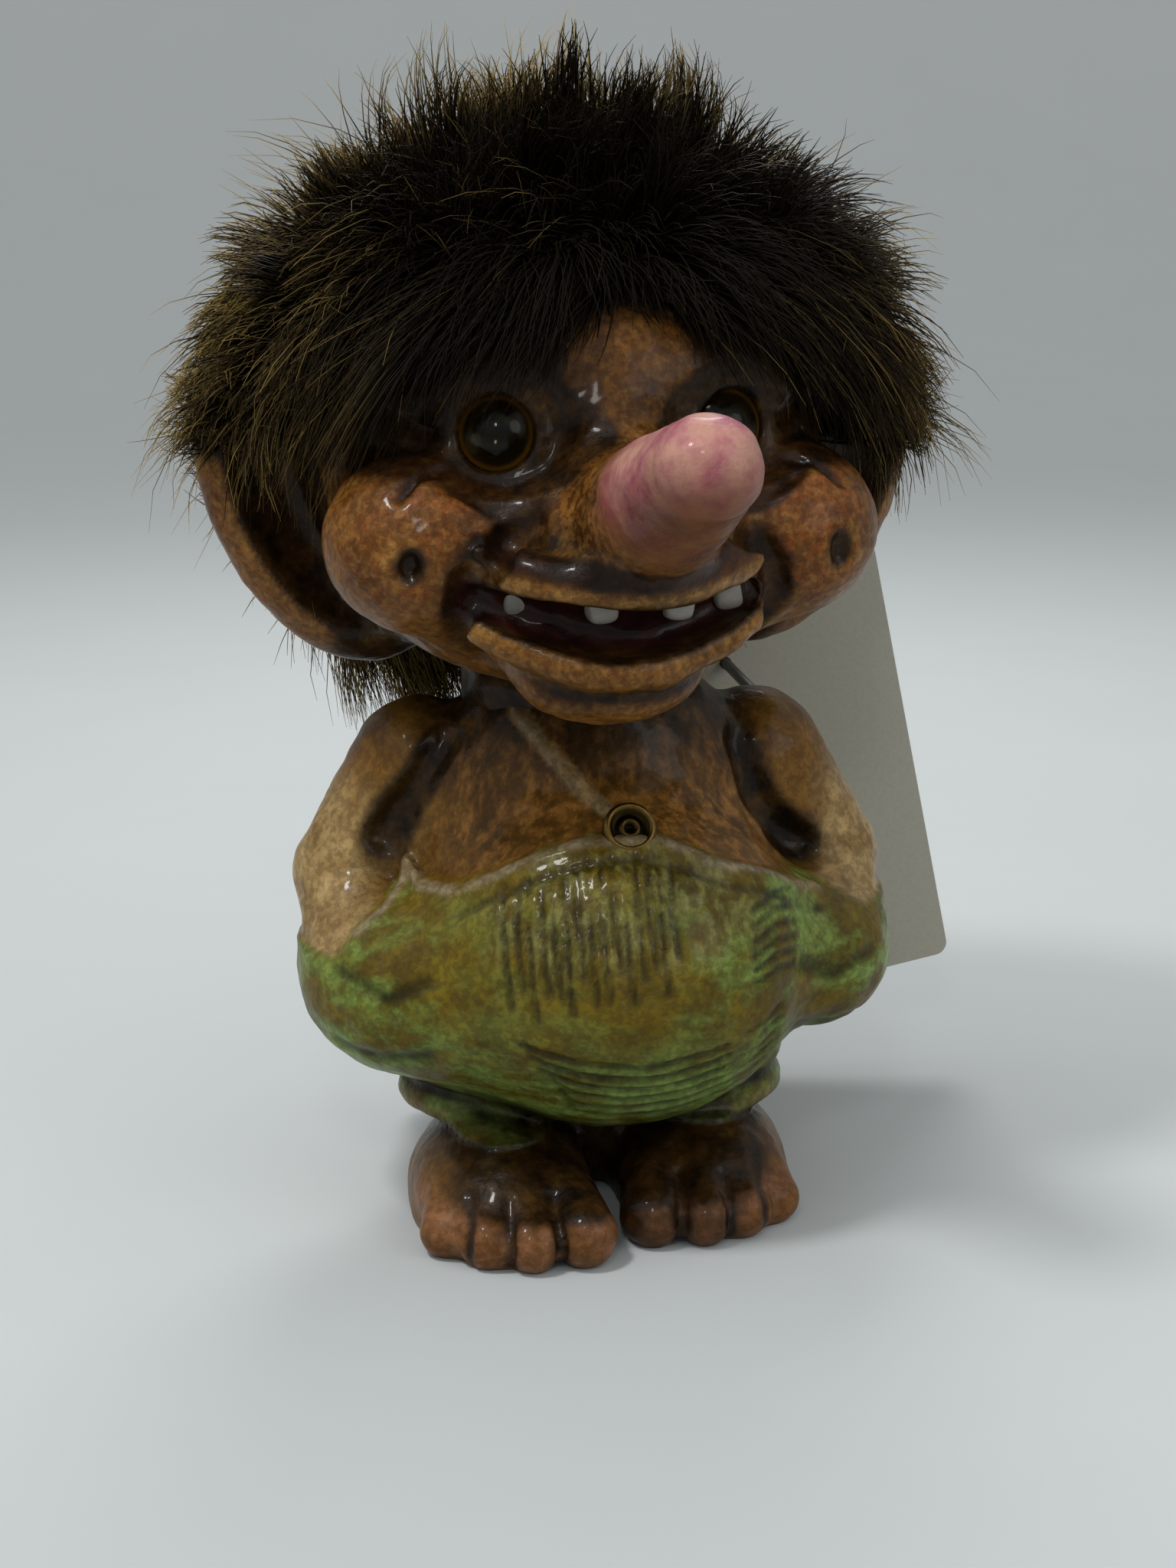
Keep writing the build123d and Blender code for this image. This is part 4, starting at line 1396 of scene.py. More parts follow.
    def painted(self, clay: Clay) -> bpy.types.Mesh:
        """Makes the head's mesh and paints it.

        Args:
            clay: the head's sculpt.

        Returns:
            The mesh with its paint masks.
        """
        mesh = clay.mesh("head", self.voxel)
        spots = positions(mesh)
        share, gap = along(spots, self.nose_root, self.nose_tip)
        on_nose = step_down(6.6, 8.4, gap)
        axis = self.nose_root[2] + share * (self.nose_tip[2] - self.nose_root[2])
        # Painted shade on the nose's underside, where the light from above doesn't reach
        under = step_up(-3.0, 4.0, axis - spots[:, 2])
        cheeks = [np.linalg.norm(spots - np.array((s * 17.5, -26.0, 17.0)), axis=1) for s in (-1, 1)]
        deep = [(x, max(y, -31.0), z) for x, y, z in self.lip_line(clay)]
        lip, top = self.lip_masks(clay, spots)
        # The wash and painted shade, with more of the dark on the top of the upper lip towards the figure's
        # right
        wash_and_shade = self.washed_and_shaded(clay, mesh) + 0.8 * lip * top * step_down(-4.0, 6.0, spots[:, 0])
        # Less of it on the nose, and painted shade under the nose
        wash_and_shade = wash_and_shade * (1.0 - 0.7 * on_nose * step_up(0.3, 0.6, share)) + 0.3 * on_nose * under
        paint(mesh, "wash_and_shade", wash_and_shade)
        # Pink laid thinner on the nose's underside, as painted shade
        paint(mesh, "pink", on_nose * step_up(0.36, 0.72, share) * (1.0 - 0.8 * under))
        paint(mesh, "blush", step_down(4.0, 11.0, np.min(cheeks, axis=0)))
        paint(mesh, "mouth", step_down(1.8, 2.9, from_path(spots, deep)))
        paint(mesh, "lip", lip * top)
        paint(mesh, "fleck", 0.8 - 0.8 * on_nose * step_up(0.45, 0.7, share))
        raised = (1.8 * clay.ridge(mesh, 1.4) - 0.2) * (1.0 - lip) + 0.8 * lip * (1.0 - top)
        paint(mesh, "raised", raised)
        paint(mesh, "speckle", 0.6 + 0.4 * on_nose - 0.9 * on_nose * step_up(0.35, 0.6, share))
        return mesh

    def build(self, packed: Packed) -> None:
        """Makes the head's pieces.

        Args:
            packed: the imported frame.
        """
        flesh, skin = FLESH.material(), self.painted(self.clay())
        packed.piece("head_sculpt", skin, flesh, ("head_casting",), local=self.place)
        glass, iris, pupil = LENS_GLASS.material(), IRIS_PAINT.material(), PUPIL_BLACK.material()
        for name, side in (("right", -1), ("left", 1)):
            seat = self.place @ facing(tuple(self.eye_seat(side)), tuple(self.gaze(side)))
            packed.piece(f"{name}_lens", self.lens(), glass, (f"{name}_eye_lens",), local=seat)
            packed.piece(f"{name}_iris", self.iris(), iris, (f"{name}_eye_disc",), local=seat)
            packed.piece(f"{name}_pupil", self.pupil(), pupil, (f"{name}_eye_stud",), local=seat)

    def lens(self) -> bpy.types.Mesh:
        """Turns the clear dome of one eye.

        Returns:
            The dome, its flat side down on the disc.
        """
        radius, base = self.eye_radius, self.disc_thickness
        ball = (radius**2 + self.lens_dome**2) / (2.0 * self.lens_dome)
        top = base + self.lens_land + self.lens_dome
        start = math.asin(radius / ball)
        dome = [(ball * math.sin(a), top - ball + ball * math.cos(a)) for a in np.linspace(start, 0.0, 10)]
        return mesh_of(turned([(0.0, base), (radius, base), *dome], self.lens_steps), "lens")

    def iris(self) -> bpy.types.Mesh:
        """Turns the painted disc under the dome.

        Returns:
            The disc, with the outer share of its radius masked for the amber rim.
        """
        radius, hole, top = self.eye_radius, self.disc_hole, self.disc_thickness - 0.02
        face = [(step, top) for step in np.linspace(radius, hole, 8)]
        profile = [(hole, 0.0), (radius, 0.0), *face, (hole, 0.0)]
        mesh = mesh_of(turned(profile, self.lens_steps), "iris")
        outward = np.linalg.norm(positions(mesh)[:, :2], axis=1)
        paint(mesh, "rim", step_up(0.78, 0.9, outward / radius))
        return mesh

    def pupil(self) -> bpy.types.Mesh:
        """Turns the black stud, flush with the disc, and its shank in the head.

        Returns:
            The stud.
        """
        radius, top = self.pupil_radius, self.disc_thickness - 0.015
        shank = [(0.0, -5.0), (0.7, -5.0), (0.9, -4.7), (0.9, 0.0)]
        stud = [(radius, 0.0), (radius, top), (0.9, top), (0.0, top)]
        return mesh_of(turned([*shank, *stud], self.pupil_steps), "pupil")


@dataclass
class Teeth:
    """Four stubby teeth, set where the CAD teeth hang."""

    tilts: tuple[tuple[str, float], ...] = (
        ("right_outer_tooth", 6.0),
        ("right_inner_tooth", -4.0),
        ("left_inner_tooth", 3.0),
        ("left_outer_tooth", -7.0),
    )
    wear: int = 14
    waist: float = 0.12

    def tooth(self, size: Vector) -> bpy.types.Mesh:
        """One tooth: a worn block, narrower at the gum and darker there with wash and painted shade.

        Args:
            size: its width, depth and height.

        Returns:
            The tooth about its own middle.
        """
        shape = bmesh.new()
        bmesh.ops.create_cube(shape, size=1.0)
        bmesh.ops.subdivide_edges(shape, edges=shape.edges[:], cuts=7, use_grid_fill=True)
        smooth(shape, shape.verts[:], self.wear)
        spans = [max(abs(v.co[axis]) for v in shape.verts) for axis in range(3)]
        for vert in shape.verts:
            vert.co = Vector(vert.co[axis] / spans[axis] * size[axis] / 2.0 for axis in range(3))
            narrowed = 1.0 - self.waist * max(0.0, vert.co.z / size.z)
            vert.co.x, vert.co.y = vert.co.x * narrowed, vert.co.y * narrowed
        mesh = mesh_of(shape, "tooth")
        # Darker towards the gum: wash and painted shade under the upper lip
        paint(mesh, "wash_and_shade", step_up(0.05, 0.42, positions(mesh)[:, 2] / size.z))
        return mesh

    def build(self, packed: Packed) -> None:
        """Makes the teeth in the places of the CAD ones.

        Args:
            packed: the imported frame.
        """
        enamel = TOOTH_PAINT.material()
        for name, tilt in self.tilts:
            low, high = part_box(name)
            middle = (low + high) / 2.0 / MM - packed.shift
            size = Vector((high - low) / MM)
            place = Matrix.Translation(middle) @ Matrix.Rotation(math.radians(HEAD_TURN), 4, "Z")
            place = place @ Matrix.Rotation(math.radians(tilt), 4, "Y")
            own_name = name.replace("tooth", "peg_tooth")
            packed.piece(own_name, self.tooth(size), enamel, (name,), local=place)


@dataclass(frozen=True)
class Trousers:
    """The painted trousers: where they end, and how far the cloth stands proud of the skin."""

    top: tuple[Spot, ...] = (
        (-27.0, 28.8), (-24.4, 31.8), (-22.0, 33.6), (-20.3, 35.0), (-19.4, 37.4), (-18.0, 36.0),
        (-15.0, 36.8), (-11.5, 38.9), (-7.2, 41.0), (-2.7, 42.4), (1.0, 42.6), (3.7, 42.4), (8.0, 40.6),
        (10.3, 39.7), (17.0, 36.7), (21.0, 34.5), (27.0, 31.5),
    )
    back_top: float = 35.0
    cuff: float = 9.8
    thickness: float = 0.5

    def edge(self, points: Array) -> Array:
        """Finds the trousers' top edge.

        Args:
            points: places round the body, one row each.

        Returns:
            The height of the edge at each of them.
        """
        front = np.interp(points[:, 0], *np.array(self.top).T)
        behind = step_up(2.0, 10.0, points[:, 1])
        return front + (self.back_top - front) * behind

    def mask(self, points: Array, soft: float = 0.35) -> Array:
        """1 where the trousers cover the body, 0 where the skin is bare."""
        height = points[:, 2]
        return step_up(-soft, soft, self.edge(points) - height) * step_up(-soft, soft, height - self.cuff)

    def press(self, points: Array) -> Array:
        """The cloth's thickness, as a stroke that raises the skin."""
        return -self.thickness * self.mask(points)


@dataclass
class Body:
    """The body casting: trunk, belly, arms in their pockets, legs and bare feet."""

    voxel: float = 0.42
    trousers: Trousers = Trousers()
    trunk: Column = Column(
        (0.0, 1.0),
        ((13.0, 16.4, 14.0), (26.0, 20.2, 16.6), (39.0, 19.4, 15.8), (49.0, 15.3, 12.3), (55.0, 9.4, 9.4)),
    )
    belly: Egg = Egg((1.0, -9.0, 28.0), (19.3, 18.2, 16.8))
    right_pocket: Egg = Egg((-21.4, -5.0, 24.6), (7.5, 11.0, 7.9))
    left_pocket: Egg = Egg((21.6, -4.5, 26.4), (7.0, 10.4, 7.2))
    right_hip: Egg = Egg((-14.5, -10.0, 25.0), (9.0, 10.0, 8.5))
    crotch: Egg = Egg((0.5, 1.5, 8.5), (8.0, 7.0, 9.5))
    right_hollow: tuple[Spot, ...] = ((-15.4, 48.6), (-18.0, 44.8), (-20.4, 41.4), (-21.4, 39.0))
    left_hollow: tuple[Spot, ...] = ((14.0, 47.6), (15.4, 43.2), (17.2, 39.6), (21.0, 37.2))
    shoulder: Point = (17.0, 2.0, 44.5)
    elbow: Point = (24.5, 2.0, 34.0)
    wrist: Point = (23.0, -5.0, 26.0)
    arm_radii: tuple[float, ...] = (7.4, 5.9, 5.2)
    leg_spread: float = 10.25
    leg_depth: float = 0.4
    leg_rings: tuple[Point, ...] = ((9.8, 9.0, 9.0), (17.0, 9.5, 9.5), (26.0, 9.7, 9.7))
    cuff_radius: float = 9.3
    foot: Egg = Egg((10.5, -5.5, 2.4), (9.3, 14.8, 8.4))
    foot_step: float = 2.0
    toes: tuple[Point, ...] = ((-0.74, 0.96, 3.1), (-0.18, 1.00, 2.8), (0.28, 0.90, 2.7), (0.68, 0.68, 2.5))
    button: Point = (1.0, -18.0, 42.26)
    button_pitch: float = 35.0
    strap: tuple[Spot, ...] = ((0.2, 43.2), (-1.6, 44.4), (-4.7, 47.7), (-6.8, 50.1), (-8.0, 51.7))
    strap_over: tuple[Point, ...] = ((-9.8, 0.5, 53.2), (-11.4, 6.0, 51.0))
    strap_radius: float = 0.75

    def clay(self) -> Clay:
        """Models the whole body.

        Returns:
            The finished sculpt.
        """
        clay = Clay()
        clay.add(self.trunk)
        clay.add(self.belly, 3.0)
        clay.add(self.right_hip, 5.0)
        clay.add(self.crotch, 2.0)
        for side in (-1, 1):
            self.add_arm(clay, side)
            self.add_leg(clay, side)
        clay.cut(Roll(tuple(clay.on_skin(list(self.right_hollow))), (0.6, 0.9, 1.3, 1.4)), 2.2)
        clay.cut(Roll(tuple(clay.on_skin(list(self.left_hollow))), (0.8, 1.5, 1.7, 0.9)), 2.2)
        self.add_strap(clay)
        clay.strokes.append(self.trousers)
        self.hem(clay)
        self.crease(clay)
        return clay

    def add_arm(self, clay: Clay, side: int) -> None:
        """Adds one arm and the full pocket that its hand is in.

        Args:
            clay: the sculpt so far.
            side: -1 for the right arm, 1 for the left one.
        """
        joints = tuple((side * x, y, z) for x, y, z in (self.shoulder, self.elbow, self.wrist))
        clay.add(Roll(joints, self.arm_radii), 1.8)
        clay.add(self.left_pocket if side > 0 else self.right_pocket, 4.5)

    def add_leg(self, clay: Clay, side: int) -> None:
        """Adds one trouser leg and the bare foot under it.

        Args:
            clay: the sculpt so far.
            side: -1 for the right leg, 1 for the left one.
        """
        clay.add(Column((side * self.leg_spread, self.leg_depth), self.leg_rings), 2.0)
        fx, fy, fz = self.foot.on_side(side).center
        fy += side * self.foot_step
        wide, long, _ = self.foot.radii
        clay.add(Egg((fx, fy, fz), self.foot.radii), 1.6)
        tips: list[Point] = []
        for outward, forward, radius in self.toes:
            root = (fx + side * 0.75 * outward * wide, fy - 0.55 * forward * long, fz + 1.4)
            tips.append((fx + side * outward * wide, fy - forward * long, 0.95 * radius))
            clay.add(Roll((root, tips[-1]), (1.3 * radius, 1.04 * radius)), 1.3)
        for one, other in pairwise(tips):
            x = (one[0] + other[0]) / 2.0
            spots = [(x, 0.8), (x, 2.6), (0.95 * x + 0.05 * fx, 4.4), (0.9 * x + 0.1 * fx, 6.4)]
            clay.stroke(clay.on_skin(spots), 0.5, 0.45)

    def add_strap(self, clay: Clay) -> None:
        """Lays the strap from the button up over the right shoulder."""
        path = (*clay.on_skin(list(self.strap)), *self.strap_over)
        clay.add(Roll(path, (self.strap_radius,) * len(path)), 0.3)

    def hem(self, clay: Clay) -> None:
        """Raises the seams of the bib, the pockets and the cuffs.

        Args:
            clay: the sculpt so far.
        """
        top = [(x, height - 0.5) for x, height in self.trousers.top if abs(x) < 26.5]
        clay.stroke(clay.on_skin(top), 0.75, -0.65)
        clay.stroke(clay.on_skin([(x, z - 1.5) for x, z in top if x > -17.0]), 0.5, 0.3)
        angles = np.linspace(0.0, math.tau, 21)
        for side in (-1, 1):
            x, y = side * self.leg_spread, self.leg_depth
            ring = [(x + self.cuff_radius * math.cos(a), y + self.cuff_radius * math.sin(a)) for a in angles]
            clay.stroke([(*spot, 10.8) for spot in ring], 0.8, -0.5)
            clay.stroke([(*spot, 13.0) for spot in ring], 0.8, 0.5)

    def crease(self, clay: Clay) -> None:
        """Works in the folds of the cloth and the marks of the modelling tool.

        Args:
            clay: the sculpt so far.
        """
        for step in range(6):
            lift = 21.8 - 1.3 * step
            fold = [(-10.0 + step, lift + 1.6), (-5.0, lift + 0.3), (1.0, lift - 0.4)]
            fold += [(8.0, lift + 0.6), (15.5, lift + 3.6)]
            clay.stroke(clay.on_skin(fold), 0.42, 0.4)
        for number, x in enumerate(np.arange(-11.0, 5.0, 1.1)):
            edge = float(self.trousers.edge(np.array([[x, -15.0, 40.0]]))[0])
            top = edge - 1.4 - abs(math.sin(1.7 * number))
            low = 30.0 + 0.25 * x + 1.8 * math.sin(2.3 * number)
            clay.stroke(clay.on_skin([(x, top), (x - 0.3, (top + low) / 2.0), (x + 0.2, low)]), 0.4, 0.36)
        for number in range(6):
            z = 36.0 - 1.3 * number
            clay.stroke(clay.on_skin([(12.4, z - 0.8), (15.0, z), (17.4, z - 0.5)]), 0.4, 0.3)
        for side in (-1, 1):
            for low, drop in ((28.5, 2.0), (21.0, 1.0)):
                fold = [(18.4, low), (22.0, low - drop), (26.5, low - 0.4)]
                clay.stroke(clay.on_skin(mirrored(fold, side)), 0.8, 0.28)

    @staticmethod
    def stand(mesh: bpy.types.Mesh) -> None:
        """Cuts the body flat under its feet.

        Args:
            mesh: the body's mesh.
        """
        shape = bmesh.new()
        shape.from_mesh(mesh)
        cut = bmesh.ops.bisect_plane(
            shape,
            geom=[*shape.verts, *shape.edges, *shape.faces],
            plane_co=(0, 0, 0),
            plane_no=(0, 0, -1),
            clear_outer=True,
        )
        soles = [edge for edge in cut["geom_cut"] if isinstance(edge, bmesh.types.BMEdge)]
        bmesh.ops.holes_fill(shape, edges=soles, sides=0)
        shape.to_mesh(mesh)
        shape.free()

    def washed_and_shaded(self, clay: Clay, mesh: bpy.types.Mesh) -> Array:
        """Lays the dark wash and painted shade: in folds and hollows the wash also stands in for shade, and
        painted shade lies on the upper chest, over the feet, between the legs and under the chin; the back
        is a little darker.

        Args:
            clay: the body's sculpt.
            mesh: its mesh.

        Returns:
            How much wash and painted shade lies on each vertex.
        """
        spots = positions(mesh)
        x, y, z = spots.T
        low, middle = step_down(9.4, 10.4, z), np.abs(x)
        hollows = [form.distance(spots) for form in clay.hollowed()]
        # Wash in folds and recesses, measured like ambient occlusion: partly the real wash, partly painted
        # shade
        wash_and_shade = 1.3 * clay.recess(mesh, (0.7, 1.8, 4.5)) ** 0.9 - 0.1 + (0.65 + 0.5 * low) * clay.carved(spots)
        # Darker in the scooped hollows under the arms, partly painted shade
        wash_and_shade += 1.1 * step_down(0.0, 2.0, np.min(hollows, axis=0))
        # Painted shade on the upper chest and shoulders, under the head
        wash_and_shade += 0.75 * step_up(43.0, 52.0, z) * step_down(12.0, 20.0, middle) + 0.3 * step_up(44.0, 50.0, z)
        # Painted shade: black over the tops of the feet, below the cuffs
        tops = np.maximum(step_up(-17.0, -13.0, y - 2.0 * np.sign(x)), step_up(4.4, 6.2, z))
        wash_and_shade += 1.9 * low * tops * step_down(12.0, 18.5, middle) * step_up(1.5, 3.5, z)
        # Painted shade between the legs, heavier on the figure's left
        wash_and_shade += (0.45 + 0.25 * np.sign(x)) * step_down(12.0, 17.0, z) * step_down(9.0, 16.0, middle)
        # A little darker towards the back, and painted shade at the neck under the chin
        return wash_and_shade + (0.2 * step_up(0.0, 14.0, y) + 1.2 * step_up(51.5, 53.5, z))

    def painted(self, clay: Clay) -> bpy.types.Mesh:
        """Makes the body's mesh and paints it.

        Args:
            clay: the body's sculpt, whose last form is the strap.

        Returns:
            The mesh with its paint masks.
        """
        mesh = clay.mesh("body", self.voxel)
        self.stand(mesh)
        spots = positions(mesh)
        x, y, z = spots.T
        middle = np.abs(x)
        cloth = self.trousers.mask(spots)
        strap = clay.steps[-1][0].distance(spots)
        hems = [-stroke.press(spots) for stroke in clay.drawn() if stroke.depth < 0.0]
        raised = np.sum(hems, axis=0)
        skirt, pockets = step_down(17.0, 26.0, z), step_up(16.0, 20.0, middle)
        green = 0.3 + 0.9 * skirt + 0.6 * step_up(3.0, 10.0, x) + 0.5 * pockets - 0.3 * step_up(36.0, 40.0, z)
        bare = 1.0 - cloth
        forearm = bare * step_up(20.5, 25.0, middle) * step_up(20.0, 28.0, z) * step_down(41.0, 47.0, z)
        # The wash and painted shade, kept off the strap
        paint(mesh, "wash_and_shade", self.washed_and_shaded(clay, mesh) * (0.15 + 0.85 * step_up(0.1, 0.5, strap)))
        paint(mesh, "cloth", cloth)
        paint(mesh, "green", cloth * green)
        paint(mesh, "hide", bare * step_up(36.0, 41.0, z) * step_down(14.0, 19.0, middle))
        paint(mesh, "tan", forearm)
        paint(mesh, "toe", step_down(4.5, 7.0, z) * step_up(9.0, 14.0, -y))
        paint(mesh, "streak", cloth * step_up(29.0, 34.0, z) * step_down(11.0, 15.0, middle))
        paint(mesh, "sweep", cloth * step_down(20.0, 26.0, z) * step_down(14.0, 18.0, middle))
        paint(mesh, "seam", np.maximum(step_up(0.12, 0.4, raised), step_down(-0.1, 0.3, strap)))
        paint(mesh, "raised", 1.8 * clay.ridge(mesh, 1.4) - 0.2)
        paint(mesh, "speckle", np.full(len(spots), 0.5))
        return mesh

    def build(self, packed: Packed) -> None:
        """Makes the body and the strap's button.

        Args:
            packed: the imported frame.
        """
        skin, dressed = self.painted(self.clay()), DRESSED.material()
        packed.piece("body_sculpt", skin, dressed, ("body_casting",))
        tip = math.radians(self.button_pitch)
        seat = facing(self.button, (0.0, -math.cos(tip), math.sin(tip)))
        button, brass = self.button_mesh(), BUTTON_BRASS.material()
        packed.piece("brass_button", button, brass, ("strap_button",), local=seat)

    @staticmethod
    def button_mesh() -> bpy.types.Mesh:
        """Turns the button: a rolled rim round a dished face with a raised eye.

        Returns:
            The button, with the wash in its dish.
        """
        profile = [(0.0, 0.0), (2.3, 0.0), (2.55, 0.4), (2.55, 1.6), (2.3, 2.0), (2.05, 2.0), (1.85, 1.6)]
        profile += [(1.4, 1.35), (1.1, 1.4), (0.9, 1.75), (0.65, 1.75), (0.45, 1.35), (0.0, 1.3)]
        mesh = mesh_of(turned(profile, 48), "button")
        spots = positions(mesh)
        dish = np.hypot(spots[:, 0], spots[:, 1])
        paint(mesh, "wash_and_shade", step_down(1.85, 2.1, dish) * (1.0 - 0.4 * step_up(1.5, 1.7, spots[:, 2])))
        return mesh


# Fur


@dataclass(frozen=True)
class Lock:
    """One field of the pile: where its roots lie, how many hairs it has and how they lie.

    `bearing` and `slant` are degrees round the skull from its front and above the level. `reach` is the
    shortest and longest share of the way to the outline, and `tousle` how far a hair strays from its way.
    """

    name: str
    hairs: int
    bearing: tuple[float, float]
    slant: tuple[float, float]
    reach: tuple[float, float]
    tousle: float = 0.16


@dataclass
class Wig:
    """The fur wig: hairs rooted in the backing, gathered in pointed tufts.

    The hem is the backing's edge. `longest` is the most that a hair may grow before its field's reach
    is applied, the power `mostly_short` favours short hairs, `unruly` is how far a tuft's tip sways and
    `rebels` the share of the crest that stands up. The sizes of the card give the room that it needs.
    """

    seed: int = 7
    skull: Egg = Egg((0.0, -2.0, 25.0), (26.6, 22.1, 21.1))
    outline: Egg = Egg((1.2, 0.5, 25.0), (37.0, 31.5, 34.0))
    parting: float = 1.5
    parting_width: float = 8.0
    parting_pull: float = 14.0
    crown: Point = (0.0, 5.0, 46.0)
    fringe: tuple[Spot, ...] = (
        (0.0, 38.0), (5.0, 37.0), (7.0, 33.5), (10.0, 30.8), (14.0, 28.6), (17.0, 27.2), (20.5, 25.5),
        (24.0, 22.0), (26.0, 18.5), (28.0, 16.5), (34.0, 14.0),
    )
    hem_lift: float = 23.0
    hem_slope: float = 36.0
    hem_ragged: float = 0.7
    nape_lift: float = 15.0
    mane_drop: float = 24.0
    trim_ragged: float = 0.9
    thickness: float = 0.12
    segments: int = 5
    longest: float = 26.0
    unruly: float = 2.3
    waver: float = 0.4
    bow: float = 0.17
    hairs_in_tuft: int = 40
    tuft_lift: Spot = (0.78, 1.12)
    gathered: Spot = (0.2, 0.8)
    mostly_short: float = 1.8
    rebels: float = 0.45
    rebel_way: Point = (0.0, -0.35, 0.5)
    hang_way: Point = (0.0, 0.12, -1.0)
    card_top: float = 24.0
    card_front: float = 28.6
    card_slant: float = 0.13
    fields: tuple[Lock, ...] = (
        Lock("fur_crown", 4900, (-180.0, 180.0), (48.0, 90.0), (0.72, 1.2), 0.26),
        Lock("fur_front", 4900, (-68.0, 68.0), (5.0, 52.0), (0.72, 1.16), 0.26),
        Lock("fur_right", 4900, (-130.0, -45.0), (-40.0, 52.0), (0.72, 1.2)),
        Lock("fur_left", 4900, (45.0, 130.0), (-40.0, 52.0), (0.72, 1.2)),
        Lock("fur_back", 4900, (120.0, 240.0), (0.0, 52.0), (0.72, 1.16)),
        Lock("fur_nape", 4900, (95.0, 265.0), (-50.0, 4.0), (0.72, 1.03)),
        Lock("fur_mane", 4900, (118.0, 242.0), (-50.0, -5.0), (0.75, 1.0)),
    )
    strays: Lock = Lock("fur_strays", 1300, (-180.0, 180.0), (-5.0, 90.0), (1.02, 1.5), 0.3)
    stray_thickness: float = 0.7
    # Painted light on the single hairs: the least painted backlight each gets, and a lift that paints glints
    stray_backlight_floor: float = 0.25
    stray_glint: float = 0.4
    scatter: int = 4000

    def roots(self, lock: Lock, rng: np.random.Generator) -> Array:
        """Scatters one field's roots evenly over its part of the skull.

        Args:
            lock: the field.
            rng: the seeded source of chance.

        Returns:
            A row for each root.
        """
        found: list[Array] = []
        count = 0
        while count < lock.hairs:
            bearing = np.radians(rng.uniform(*lock.bearing, self.scatter))
            rise = np.arcsin(rng.uniform(*np.sin(np.radians(lock.slant)), self.scatter))
            level = np.cos(rise)
            way = np.column_stack((np.sin(bearing) * level, -np.cos(bearing) * level, np.sin(rise)))
            spots = np.array(self.skull.center) + way * self.skull.radii
            hem = self.hem_lift - spots[:, 1] * math.tan(math.radians(self.hem_slope))
            spots = spots[spots[:, 2] > hem + rng.normal(0.0, self.hem_ragged, len(spots))]
            found.append(spots)
            count += len(spots)
        return np.vstack(found)[: lock.hairs]

    def hairs(self, lock: Lock, rng: np.random.Generator) -> Array:
        """Grows one field's hairs.

        Args:
            lock: the field.
            rng: the seeded source of chance.

        Returns:
            An array of hairs by points along the hair by coordinates.
        """
        roots = self.roots(lock, rng)
        out = unit((roots - self.skull.center) / np.square(self.skull.radii))
        hang = self.mane(roots) * step_down(-0.2, 0.35, out[:, 2])
        way = self.combed(roots, out)
        rebels = rng.uniform(0.0, 1.0, len(roots)) < self.rebels * self.crest(roots)
        way[rebels] = unit(out[rebels] + self.rebel_way)
        down = np.array(self.hang_way)
        way = unit(way + (down - way) * hang[:, None] + rng.normal(0.0, lock.tousle, out.shape))
        length = np.minimum(self.to_outline(roots, way), self.longest)
        length = length + (self.longest - length) * hang
        low, high = lock.reach
        length = length * (low + (high - low) * rng.uniform(0.0, 1.0, len(roots)) ** self.mostly_short)
        tips = roots + way * length[:, None]
        guides = rng.choice(len(roots), len(roots) // self.hairs_in_tuft, replace=False)
        apart = ((roots[:, None, :] - roots[None, guides, :]) ** 2).sum(axis=2)
        nearest = guides[np.argmin(apart, axis=1)]
        gather = rng.uniform(*self.gathered, len(roots))[:, None]
        lift = rng.uniform(*self.tuft_lift, len(roots))[nearest][:, None]
        sway = rng.normal(0.0, self.unruly, roots.shape)[nearest]
        aim = roots[nearest] + (tips[nearest] - roots[nearest]) * lift + sway
        tips = tips + (aim - tips) * gather + rng.normal(0.0, self.waver, tips.shape)
        tips = self.trimmed(roots, tips, rng)
        share = np.linspace(0.0, 1.0, self.segments + 1)[None, :, None]
        straight = roots[:, None, :] + (tips - roots)[:, None, :] * share
        span = np.linalg.norm(tips - roots, axis=1)[:, None]
        bow = self.bow * span * out + rng.normal(0.0, self.waver, out.shape)
        return straight + bow[:, None, :] * (4.0 * share * (1.0 - share))

    @staticmethod
    def crest(roots: Array) -> Array:
        """1 over the top of the brow, where hairs stand up through the combed ones, and 0 elsewhere."""
        ahead = step_up(-4.0, 2.0, -roots[:, 1]) * step_down(13.0, 18.0, -roots[:, 1])
        return ahead * step_down(12.0, 20.0, np.abs(roots[:, 0]))

    @staticmethod
    def mane(roots: Array) -> Array:
        """1 at the back of the neck, where the hairs hang down, and 0 elsewhere."""
        return step_up(3.0, 10.0, roots[:, 1]) * step_down(15.0, 19.0, np.abs(roots[:, 0]))

